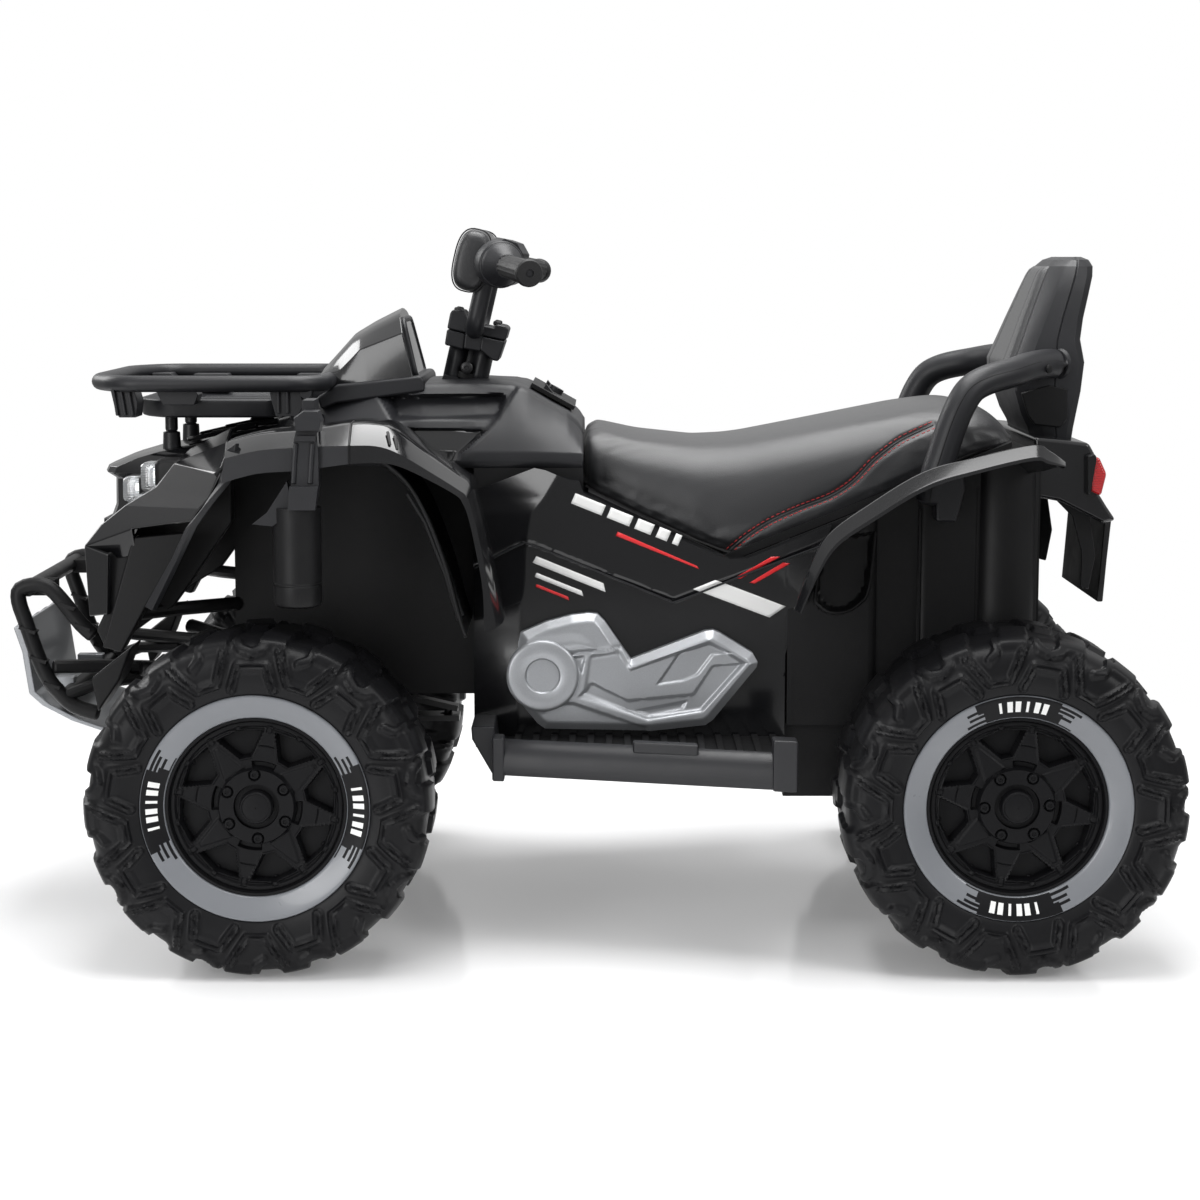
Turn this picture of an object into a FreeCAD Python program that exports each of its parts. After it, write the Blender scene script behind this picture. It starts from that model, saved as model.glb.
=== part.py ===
import FreeCAD, Part
import math
import os
import Sketcher

# Kids quad bike. Front faces -X, rider's right is +Y, up is +Z.
# The origin is on the ground, under the middle of the whole bike.

dimensions = {
    # Wheels and stance
    "wheelbase": 714,
    "track": 520,
    "tyre_radius": 165,
    "tyre_width": 150,
    "front_overhang": 271,
    "tread_height": 6,
    "lug_angle": 13,
    "lug_count": 16,
    "rim_radius": 98,
    "bead_radius": 107,
    "bead_inset": 11,
    "ring_inner_radius": 85.5,
    "ring_thickness": 4.7,
    "disc_inset": 25,
    "disc_thickness": 10,
    "rim_wall": 6,
    "hub_radius": 17,
    "hub_cap_radius": 15,
    "hub_cap_height": 9,
    "spoke_count": 8,
    "window_inner_radius": 37,
    "window_outer_radius": 70,
    "window_half_width": 22,
    "wheel_nut_radius": 4.5,
    "wheel_nut_circle": 27,
    "wheel_nut_count": 6,
    "rim_boss_radius": 3,
    "rim_boss_circle": 78,
    "rim_boss_count": 16,
    "rim_detail_height": 3,
    # Fits
    "running": 0.05,
    "side_play": 0.3,
    "part_line": 0.3,
    "wall": 5,
    # Front axle and steering gear
    "kingpin_inset": 95,
    "kingpin_radius": 5,
    "axle_radius": 6,
    "axle_end_inset": 48,
    "beam_depth": 40,
    "beam_height": 30,
    "beam_end": 16,
    "pedestal_half": 85,
    "ear_thickness": 11,
    "knuckle_half": 17,
    "web_thickness": 8,
    "steering_arm": 60,
    "arm_width": 18,
    "link_pin_radius": 4,
    "link_thickness": 6,
    "crank_pin_play": 3,
    "column_x": 183,
    "column_z": 387,
    "column_rake": 13,
    "column_radius": 8,
    "bush_wall": 5,
    "bush_flange": 6,
    # Handlebar, measured from the column's foot along its axis
    "column_cover_width": 40,
    "column_cover_depth": 38,
    "bar_height": 52,
    "bar_radius": 9,
    "riser_half": 72,
    "riser_height": 66,
    "arm_length": 152,
    "arm_sweep": 20,
    "arm_droop": 4,
    "clamp_width": 64,
    "clamp_depth": 58,
    "clamp_height": 40,
    "grip_radius": 13,
    "grip_length": 92,
    "housing_radius": 20,
    "housing_length": 34,
    "pad_half_length": 92,
    "pad_depth": 34,
    "pad_height": 62,
    "pad_rise": 8,
    "pad_front": 8,
    # Tub
    "tub_front_reach": 45,
    "tub_front_half": 112,
    "tub_mid_start": 198,
    "tub_mid_half": 150,
    "tub_mid_end": 208,
    "tub_rear_reach": 44,
    "tub_tyre_gap": 35,
    "deck_height": 305,
    "floor_height": 25,
    "front_floor_height": 73,
    "rear_floor_drop": 25,
    # Seat
    "seat_start": 306,
    "seat_end": 16,
    "seat_dip": 140,
    "seat_front_edge": 283,
    "seat_dip_edge": 217,
    "seat_rear_edge": 330,
    "seat_pan": 8,
    "seat_half": 146,
    "pan_gap": 9,
    "seat_front_top": 340,
    "seat_low_top": 329,
    "seat_high_top": 362,
    "seat_crown": 16,
    # Side panels, covers and steps
    "panel_thickness": 14,
    "panel_top": 308,
    "panel_notch": 281,
    "cover_length": 240,
    "cover_height": 118,
    "cover_depth": 20,
    "cover_start": 239,
    "cover_rise": 47,
    "cover_disc_radius": 37,
    "cover_disc_height": 4,
    "step_thickness": 14,
    "step_front_width": 56,
    "step_rear_width": 132,
    "rail_width": 16,
    "rail_height": 34,
    "rail_drop": 12,
    "rail_cap_length": 22,
    "rail_cap_height": 48,
    # Upper cowl and dash
    "cowl_front": 40,
    "cowl_skirt": 12,
    "cowl_front_top": 66,
    "cowl_top": 82,
    "cowl_rear_top": 46,
    "cowl_top_half": 98,
    "cowl_ridge_start": 198,
    "cowl_ridge_end": 241,
    "dash_length": 104,
    "dash_height": 66,
    "dash_base_half": 88,
    "dash_top_half": 52,
    "dash_start": 38,
    "screen_thickness": 4,
    "control_plate_length": 50,
    "control_plate_width": 130,
    "control_plate_thickness": 4,
    "button_radius": 8,
    "button_height": 5,
    "button_travel": 2,
    "rocker_length": 24,
    "rocker_width": 14,
    # Nose, fenders and rack
    "nose_half": 112,
    "nose_length": 229,
    "nose_height": 189,
    "nose_reach": 189,
    "nose_rise": 165,
    "fender_length": 402,
    "fender_height": 196,
    "fender_reach": 178,
    "fender_rise": 154,
    "fender_skin": 9,
    "fender_half": 302,
    "fender_root": 90,
    "fender_tip_half": 206,
    "fender_brow_half": 287,
    "guard_length": 108,
    "guard_height": 128,
    "guard_rise": 125,
    "guard_half": 205,
    "lamp_length": 40,
    "lamp_height": 30,
    "lamp_width": 46,
    "lamp_inner": 122,
    "canister_radius": 21,
    "canister_length": 92,
    "canister_strut": 30,
    "canister_strap": 90,
    "canister_lift": 17,
    "canister_x": 50,
    "rack_length": 240,
    "rack_half": 146,
    "rack_tube": 14,
    "rack_height": 385,
    "rack_reach": 176,
    "rack_corner": 34,
    "rack_deck_drop": 22,
    "rack_deck_thickness": 8,
    "rack_post": 16,
    # Front bumper and skid plate
    "bumper_length": 91,
    "bumper_height": 144,
    "bumper_rise": 48,
    "bumper_tube": 16,
    "bumper_half": 128,
    "bumper_foot": 76,
    "skid_half": 104,
    "skid_height": 113,
    "skid_rise": 31,
    # Rear fenders, tail and lamps
    "rear_fender_length": 244,
    "rear_fender_height": 150,
    "rear_fender_reach": 207,
    "rear_fender_rise": 185,
    "rear_fender_skin": 9,
    "rear_fender_half": 302,
    "tail_depth": 52,
    "tail_height": 56,
    "tail_lamp_depth": 16,
    "tail_lamp_height": 34,
    "tail_lamp_width": 44,
    "tail_lamp_inner": 92,
    "flap_half": 100,
    "flap_thickness": 7,
    "flap_height": 120,
    # Backrest and armrests
    "back_length": 66,
    "back_height": 187,
    "back_half": 92,
    "back_pad_half": 74,
    "back_pad_thickness": 13,
    "armrest_y": 174,
    "armrest_width": 26,
    "armrest_height": 27,
    "armrest_post_x": 58,
    "armrest_elbow": 402,
    "armrest_end": 418,
    # Drive and power
    "gearbox_length": 104,
    "gearbox_height": 84,
    "motor_radius": 19,
    "motor_length": 52,
    "motor_x": 30,
    "motor_z": 14,
    "battery_length": 150,
    "battery_width": 196,
    "battery_height": 95,
    "box_length": 60,
    "box_width": 90,
    "box_height": 36,
    # Accelerator pedal
    "pedal_length": 76,
    "pedal_width": 44,
    "pedal_thickness": 9,
    "pedal_y": 30,
    "pedal_angle": 18,
    "pedal_hinge_radius": 4,
    "pedal_ear": 6,
    "pedal_ear_height": 18,
    "pedal_x": 340,
    # Screws
    "screw_radius": 5,
    "screw_head": 2.5,
}

doc = FreeCAD.newDocument("quad_bike")
sheet = doc.addObject("Spreadsheet::Sheet", "Sheet")
for row, (alias, length) in enumerate(dimensions.items(), start=1):
    sheet.set(f"A{row}", alias)
    sheet.set(f"B{row}", str(length))
    sheet.setAlias(f"B{row}", alias)
doc.recompute()


class Size:
    # A number together with the sheet formula that gives it
    def __init__(self, number, formula):
        self.number = number
        self.formula = formula

    def joined(self, other, sign, number):
        return Size(number, f"({self.formula} {sign} {as_size(other).formula})")

    def __add__(self, other):
        return self.joined(other, "+", self.number + as_size(other).number)

    def __sub__(self, other):
        return self.joined(other, "-", self.number - as_size(other).number)

    def __mul__(self, other):
        return self.joined(other, "*", self.number * as_size(other).number)

    def __truediv__(self, other):
        return self.joined(other, "/", self.number / as_size(other).number)

    def __radd__(self, other):
        return as_size(other) + self

    def __rsub__(self, other):
        return as_size(other) - self

    def __rmul__(self, other):
        return as_size(other) * self

    def __neg__(self):
        return as_size(0) - self


def as_size(value):
    if isinstance(value, Size):
        return value
    return Size(float(value), f"{value:.6f}")


def trig(name, angle):
    number = getattr(math, name)(math.radians(angle.number))
    return Size(number, f"{name}({angle.formula})")


class Dimensions:
    def __getattr__(self, alias):
        return Size(float(dimensions[alias]), f"Sheet.{alias}")


d = Dimensions()
nodes = {}

# Reference lines
front_x = d.front_overhang - (d.front_overhang + d.wheelbase + d.tyre_radius) / 2
rear_x = front_x + d.wheelbase
axle_z = d.tyre_radius
deck_z = axle_z + d.deck_height
floor_z = axle_z + d.floor_height
front_floor_z = axle_z + d.front_floor_height
rear_floor_z = axle_z - d.rear_floor_drop
tub_front_x = front_x - d.tub_front_reach
mid_start_x = front_x + d.tub_mid_start
mid_end_x = rear_x - d.tub_mid_end
tub_rear_x = rear_x + d.tub_rear_reach
kingpin_y = d.track / 2 - d.kingpin_inset
rear_half = d.track / 2 - d.tyre_width / 2 - d.tub_tyre_gap


def bind(item, path, size):
    item.setExpression(path, as_size(size).formula)


def new_body(label):
    body = doc.addObject("PartDesign::Body", label)
    body.Label = label
    return body


def new_sketch(body, role, offset=None):
    sketch = body.newObject("Sketcher::SketchObject", body.Label + "_sketch")
    plane = [item for item in body.Origin.OriginFeatures if item.Role == role][0]
    sketch.AttachmentSupport = [(plane, "")]
    sketch.MapMode = "FlatFace"
    if offset is not None:
        bind(sketch, "AttachmentOffset.Base.z", offset)
    return sketch


def pin_point(sketch, geometry, end, point):
    # Holds one end of a sketch line at its sheet sizes
    for kind, size in zip(("DistanceX", "DistanceY"), point):
        size = as_size(size)
        number = sketch.addConstraint(Sketcher.Constraint(kind, -1, 1, geometry, end, size.number))
        bind(sketch, f"Constraints[{number}]", size)


def draw_polygon(sketch, points):
    corners = [FreeCAD.Vector(as_size(u).number, as_size(v).number, 0) for u, v in points]
    first = sketch.GeometryCount
    for corner, following in zip(corners, corners[1:] + corners[:1]):
        sketch.addGeometry(Part.LineSegment(corner, following), False)
    for index, point in enumerate(points):
        following = first + (index + 1) % len(points)
        sketch.addConstraint(Sketcher.Constraint("Coincident", first + index, 2, following, 1))
    for index, point in enumerate(points):
        pin_point(sketch, first + index, 1, point)


def draw_circle(sketch, centre, radius):
    middle = FreeCAD.Vector(as_size(centre[0]).number, as_size(centre[1]).number, 0)
    up = FreeCAD.Vector(0, 0, 1)
    circle = sketch.addGeometry(Part.Circle(middle, up, as_size(radius).number), False)
    number = sketch.addConstraint(Sketcher.Constraint("Radius", circle, as_size(radius).number))
    bind(sketch, f"Constraints[{number}]", radius)
    pin_point(sketch, circle, 3, centre)


def extrude(body, sketch, length, kind="Pad", symmetric=False, reverse=False):
    feature = body.newObject("PartDesign::" + kind, body.Label + "_" + kind.lower())
    feature.Profile = sketch
    feature.SideType = "Symmetric" if symmetric else "One side"
    feature.Reversed = reverse
    bind(feature, "Length", length)
    return feature


def slab(body, role, points, length, offset=None, **options):
    sketch = new_sketch(body, role, offset)
    draw_polygon(sketch, points)
    return extrude(body, sketch, length, **options)


def disc(body, role, centre, radius, length, offset=None, **options):
    sketch = new_sketch(body, role, offset)
    draw_circle(sketch, centre, radius)
    return extrude(body, sketch, length, **options)


def loft(body, role, sections):
    sketches = []
    for offset, points in sections:
        sketch = new_sketch(body, role, offset)
        draw_polygon(sketch, points)
        sketches.append(sketch)
    feature = body.newObject("PartDesign::AdditiveLoft", body.Label + "_loft")
    feature.Profile = sketches[0]
    feature.Sections = sketches[1:]
    feature.Ruled = True
    return feature


def revolve(body, points, angle=None):
    # Turns a radius and width outline about the body's Y axis
    sketch = new_sketch(body, "XY_Plane")
    draw_polygon(sketch, points)
    feature = body.newObject("PartDesign::Revolution", body.Label + "_turn")
    feature.Profile = sketch
    feature.ReferenceAxis = (sketch, ["V_Axis"])
    if angle is not None:
        feature.Midplane = True
        bind(feature, "Angle", angle)
    return feature


def repeat_round(body, features, count):
    pattern = body.newObject("PartDesign::PolarPattern", body.Label + "_round")
    pattern.Originals = features
    axis = [item for item in body.Origin.OriginFeatures if item.Role == "Y_Axis"][0]
    pattern.Axis = (axis, [""])
    pattern.Angle = 360
    bind(pattern, "Occurrences", count)
    body.Tip = pattern
    return pattern


def rectangle(u_low, v_low, u_high, v_high):
    return [(u_low, v_low), (u_high, v_low), (u_high, v_high), (u_low, v_high)]


def within(shares, u_low, v_low, length, height):
    # An outline drawn as shares of its length and height
    return [(u_low + u * length, v_low + v * height) for u, v in shares]


def between(first, second, share):
    return (first[0] + (second[0] - first[0]) * share, first[1] + (second[1] - first[1]) * share)


def skin_strip(points, normals, skin):
    # An open outline and its copy moved inwards make a thin closed strip
    inner = [(u + a * skin, v + b * skin) for (u, v), (a, b) in zip(points, normals)]
    return points + inner[::-1]


def placed(item, x, y, z, turn=0):
    item.Placement = FreeCAD.Placement(
        FreeCAD.Vector(0, 0, 0), FreeCAD.Rotation(FreeCAD.Vector(0, 0, 1), turn))
    bind(item, "Placement.Base.x", x)
    bind(item, "Placement.Base.y", y)
    bind(item, "Placement.Base.z", z)


def leaned(item, x, z, angle):
    # Tips an object about Y, so that its own Z axis leans to the rear
    item.Placement = FreeCAD.Placement(
        FreeCAD.Vector(0, 0, 0), FreeCAD.Rotation(FreeCAD.Vector(0, 1, 0), angle.number))
    bind(item, "Placement.Base.x", x)
    bind(item, "Placement.Base.z", z)
    bind(item, "Placement.Rotation.Angle", angle)


def mirrored(source):
    copy = doc.addObject("Part::Mirroring", source.Label + "_mirror")
    copy.Source = source
    copy.Normal = (0, 1, 0)
    return copy


def group(label, members):
    compound = doc.addObject("Part::Compound", label)
    compound.Label = label
    compound.Links = members
    return compound


def trimmed(label, base, tools):
    for tool in tools:
        cut = doc.addObject("Part::Cut", label + "_cut")
        cut.Base = base
        cut.Tool = tool
        base = cut
    base.Label = label
    return base


def keep(label, item):
    item.Label = label
    nodes[label] = item
    return item


def keep_pair(label, left):
    left.Label = label + "_left_part"
    return keep(label, group(label, [left, mirrored(left)]))


def seat_line(x):
    # Height of the seat's lower edge, a shallow V seen from the side
    start = front_x + d.seat_start
    dip = start + d.seat_dip
    end = rear_x + d.seat_end
    if x.number <= dip.number:
        low, high = (start, d.seat_front_edge), (dip, d.seat_dip_edge)
    else:
        low, high = (dip, d.seat_dip_edge), (end, d.seat_rear_edge)
    return axle_z + low[1] + (high[1] - low[1]) * ((x - low[0]) / (high[0] - low[0]))


seat_start_x = front_x + d.seat_start
seat_dip_x = seat_start_x + d.seat_dip
seat_end_x = rear_x + d.seat_end
rear_top_z = axle_z + d.seat_rear_edge - d.seat_pan - d.part_line


# Tub: one open moulding that carries everything
def make_tub_envelope():
    tub = new_body("tub_envelope")
    drop = d.seat_pan + d.part_line
    mid_top = [
        (mid_end_x, seat_line(mid_end_x) - drop),
        (seat_dip_x, seat_line(seat_dip_x) - drop),
        (seat_start_x, seat_line(seat_start_x) - drop),
        (seat_start_x, deck_z),
    ]
    mid = [(mid_start_x, floor_z), (mid_end_x, floor_z)] + mid_top + [(mid_start_x, deck_z)]
    front = rectangle(tub_front_x, front_floor_z, mid_start_x, deck_z)
    rear = [
        (mid_end_x, rear_floor_z),
        (tub_rear_x, rear_floor_z),
        (tub_rear_x, rear_top_z),
        (seat_end_x, rear_top_z),
        (mid_end_x, seat_line(mid_end_x) - drop),
    ]
    slab(tub, "XZ_Plane", mid, d.tub_mid_half * 2, symmetric=True)
    slab(tub, "XZ_Plane", front, d.tub_front_half * 2, symmetric=True)
    slab(tub, "XZ_Plane", rear, rear_half * 2, symmetric=True)
    return tub


def make_tub_hollow():
    hollow = new_body("tub_hollow")
    over = deck_z + d.wall
    hollows = (
        (mid_start_x + d.wall, mid_end_x - d.wall, floor_z + d.wall, d.tub_mid_half),
        (tub_front_x + d.wall, mid_start_x - d.wall, front_floor_z + d.wall, d.tub_front_half),
        (mid_end_x + d.wall, tub_rear_x - d.wall, rear_floor_z + d.wall, rear_half),
    )
    for low_x, high_x, low_z, half in hollows:
        slab(hollow, "XZ_Plane", rectangle(low_x, low_z, high_x, over), (half - d.wall) * 2,
             symmetric=True)
    gangway = rectangle(tub_front_x + d.wall * 2, deck_z - d.wall * 4, tub_rear_x - d.wall * 2, over)
    slab(hollow, "XZ_Plane", gangway, (d.tub_front_half - d.wall) * 2, symmetric=True)
    across = rear_half * 2 + d.wall
    motor = (rear_x - d.motor_x, axle_z + d.motor_z)
    disc(hollow, "XZ_Plane", motor, d.motor_radius + d.side_play, across, symmetric=True)
    disc(hollow, "XZ_Plane", (rear_x, axle_z), d.axle_radius + d.side_play, across, symmetric=True)
    return hollow


# The column leans back: its foot is where it leaves the cowl
column_foot_x = front_x + d.column_x
column_foot_z = axle_z + d.column_z
lean = trig("tan", d.column_rake)
upright = trig("cos", d.column_rake)
knuckle_top_z = axle_z + d.beam_height / 2 + d.side_play + d.ear_thickness
link_z = knuckle_top_z + d.side_play
crank_reach = d.steering_arm + d.link_pin_radius * 2
crank_z = link_z + d.link_thickness * 1.5 + crank_reach * trig("sin", d.column_rake)
crank_depth = (column_foot_z - crank_z) / upright
bush_radius = d.column_radius + d.bush_wall
floor_depth = (column_foot_z - front_floor_z) / upright


def column_tool(label, radius):
    tool = doc.addObject("Part::Cylinder", label)
    bind(tool, "Radius", radius)
    bind(tool, "Height", floor_depth * 1.5)
    start = floor_depth * 1.1
    leaned(tool, column_foot_x - start * trig("sin", d.column_rake),
           column_foot_z - start * upright, d.column_rake)
    return tool


# Wheels, drawn about their own centre with the outer face at -Y
def make_wheel_masters():
    half = d.tyre_width / 2
    bead_y = half - d.bead_inset
    carcass = d.tyre_radius - d.tread_height
    tyre = new_body("tyre_master")
    side = [
        (d.bead_radius, -bead_y),
        (d.bead_radius + (carcass - d.bead_radius) * 0.25, -half * 0.96),
        (carcass - (carcass - d.bead_radius) * 0.4, -half),
        (carcass - (carcass - d.bead_radius) * 0.1, -half * 0.88),
        (carcass, -half * 0.72),
    ]
    across = [(r, -y) for r, y in side]
    outline = [(d.rim_radius, -bead_y)] + side + across[::-1] + [(d.rim_radius, bead_y)]
    revolve(tyre, outline)
    lug = [
        (carcass - d.tread_height * 3, -half * 0.98),
        (d.tyre_radius - d.tread_height, -half * 0.95),
        (d.tyre_radius, -half * 0.75),
        (d.tyre_radius, -half * 0.1),
        (carcass - d.tread_height, -half * 0.1),
        (carcass - d.tread_height * 3, -half * 0.7),
    ]
    left_lug = revolve(tyre, lug, d.lug_angle)
    right_lug = revolve(tyre, [(r, -y) for r, y in lug], d.lug_angle)
    repeat_round(tyre, [left_lug, right_lug], d.lug_count)

    disc_y = half - d.disc_inset
    barrel = d.rim_radius - d.running * 2
    lip_y = bead_y - d.ring_thickness * 1.8
    cap_y = disc_y + d.hub_cap_height
    back_y = disc_y - d.disc_thickness
    hub_end = d.kingpin_inset - d.beam_end - d.web_thickness - 1 - d.side_play
    rim = new_body("rim_master")
    revolve(rim, [
        (0, -cap_y), (d.hub_cap_radius, -cap_y), (d.hub_radius, -disc_y),
        (d.ring_inner_radius - d.rim_wall, -disc_y), (d.ring_inner_radius, -lip_y),
        (barrel, -lip_y), (barrel, bead_y), (barrel - d.rim_wall, bead_y),
        (barrel - d.rim_wall, -back_y), (d.hub_radius, -back_y),
        (d.hub_radius, hub_end), (0, hub_end)])
    window = slab(rim, "XZ_Plane", [
        (d.window_inner_radius, -d.window_half_width * 0.3),
        (d.window_outer_radius, -d.window_half_width),
        (d.window_outer_radius, d.window_half_width),
        (d.window_inner_radius, d.window_half_width * 0.3)], d.tyre_width, kind="Pocket", symmetric=True)
    repeat_round(rim, [window], d.spoke_count)
    nut = disc(rim, "XZ_Plane", (d.wheel_nut_circle, 0), d.wheel_nut_radius,
               d.rim_detail_height, offset=disc_y)
    repeat_round(rim, [nut], d.wheel_nut_count)
    boss = disc(rim, "XZ_Plane", (d.rim_boss_circle, 0), d.rim_boss_radius,
                d.rim_detail_height, offset=disc_y)
    repeat_round(rim, [boss], d.rim_boss_count)
    bore_length = hub_end + disc_y
    disc(rim, "XZ_Plane", (0, 0), d.axle_radius + d.running, bore_length,
         offset=-hub_end, kind="Pocket", reverse=True)

    ring = new_body("ring_master")
    step = d.rim_radius - d.running * 4
    seat_y = lip_y + d.running * 2
    revolve(ring, [
        (d.ring_inner_radius, -seat_y), (step, -seat_y), (step, -bead_y - d.running * 4),
        (d.bead_radius, -bead_y - d.running * 4), (d.bead_radius, -bead_y - d.ring_thickness),
        (d.ring_inner_radius, -seat_y - d.ring_thickness)])
    return {"tyre": tyre, "rim": rim, "trim_ring": ring}


def make_wheels():
    masters = make_wheel_masters()
    corners = (
        ("front_left", front_x, -d.track / 2, 0),
        ("front_right", front_x, d.track / 2, 180),
        ("rear_left", rear_x, -d.track / 2, 0),
        ("rear_right", rear_x, d.track / 2, 180),
    )
    for corner, x, y, turn in corners:
        for piece, master in masters.items():
            label = f"{piece}_{corner}"
            placed(keep(label, group(label, [master])), x, y, axle_z, turn)


# Front axle: a fixed beam, a yoke with its stub on each kingpin, and one link between the yokes
def make_front_axle():
    beam = new_body("front_axle_beam")
    low_z = axle_z - d.beam_height / 2
    high_z = axle_z + d.beam_height / 2
    low_x = front_x - d.beam_depth / 2
    high_x = front_x + d.beam_depth / 2
    slab(beam, "XZ_Plane", rectangle(low_x, low_z, high_x, high_z),
         (kingpin_y - d.beam_end * 1.5) * 2, symmetric=True)
    slab(beam, "XZ_Plane", rectangle(front_x - d.beam_end, low_z, front_x + d.beam_end, high_z),
         kingpin_y * 2, symmetric=True)
    slab(beam, "XZ_Plane", rectangle(low_x, high_z, high_x, front_floor_z),
         d.pedestal_half * 2, symmetric=True)
    for side in (-1, 1):
        disc(beam, "XY_Plane", (front_x, kingpin_y * side), d.beam_end, d.beam_height, offset=low_z)
        disc(beam, "XY_Plane", (front_x, kingpin_y * side), d.kingpin_radius + d.running,
             high_z * 2, kind="Pocket", symmetric=True)
    keep("front_axle_beam", beam)

    knuckle = new_body("knuckle_yoke")
    inner_y = -(kingpin_y - d.beam_end)
    web_y = -(kingpin_y + d.beam_end + 1)
    outer_y = web_y - d.web_thickness
    ear = rectangle(front_x - d.knuckle_half, outer_y, front_x + d.knuckle_half, inner_y)
    ear_gap = d.beam_height / 2 + d.side_play
    web = rectangle(front_x - d.knuckle_half, outer_y, front_x + d.knuckle_half, web_y)
    slab(knuckle, "XY_Plane", web, (ear_gap + d.ear_thickness) * 2,
         offset=axle_z - ear_gap - d.ear_thickness)
    slab(knuckle, "XY_Plane", ear, d.ear_thickness, offset=axle_z + ear_gap)
    slab(knuckle, "XY_Plane", ear, d.ear_thickness, offset=axle_z - ear_gap - d.ear_thickness)
    arm_x = front_x + d.steering_arm
    arm = rectangle(front_x, -kingpin_y - d.arm_width / 2,
                    arm_x + d.arm_width / 2, -kingpin_y + d.arm_width / 2)
    slab(knuckle, "XY_Plane", arm, d.ear_thickness, offset=axle_z + ear_gap)
    disc(knuckle, "XY_Plane", (arm_x, -kingpin_y), d.link_pin_radius,
         d.link_thickness + d.side_play * 2, offset=knuckle_top_z)
    stub_end = d.track / 2 + d.axle_end_inset
    disc(knuckle, "XZ_Plane", (front_x, axle_z), d.axle_radius, stub_end + outer_y,
         offset=-outer_y)
    disc(knuckle, "XY_Plane", (front_x, -kingpin_y), d.kingpin_radius + d.running,
         knuckle_top_z * 2, kind="Pocket", symmetric=True)
    kingpin = new_body("kingpin")
    disc(kingpin, "XY_Plane", (front_x, -kingpin_y), d.kingpin_radius,
         (ear_gap + d.ear_thickness) * 2, offset=axle_z - ear_gap - d.ear_thickness)
    disc(kingpin, "XY_Plane", (front_x, -kingpin_y), d.kingpin_radius * 1.8, d.kingpin_radius,
         offset=axle_z - ear_gap - d.ear_thickness - d.kingpin_radius)
    left = keep("steering_knuckle_left", group("steering_knuckle_left", [knuckle, kingpin]))
    keep("steering_knuckle_right", mirrored(left))

    link = new_body("steering_link")
    crank_x = column_foot_x - (column_foot_z - link_z) * lean + d.steering_arm
    reach = d.arm_width / 2
    slab(link, "XY_Plane",
         rectangle(arm_x - reach, -kingpin_y - reach, arm_x + reach, kingpin_y + reach),
         d.link_thickness, offset=link_z)
    slab(link, "XY_Plane", rectangle(arm_x, -reach * 1.6, crank_x + reach * 1.6, reach * 1.6),
         d.link_thickness, offset=link_z)
    for side in (-1, 1):
        disc(link, "XY_Plane", (arm_x, kingpin_y * side), d.link_pin_radius + d.running,
             link_z * 4, kind="Pocket", symmetric=True)
    disc(link, "XY_Plane", (crank_x, 0), d.link_pin_radius + d.crank_pin_play,
         link_z * 4, kind="Pocket", symmetric=True)
    keep("steering_link", link)


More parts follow.
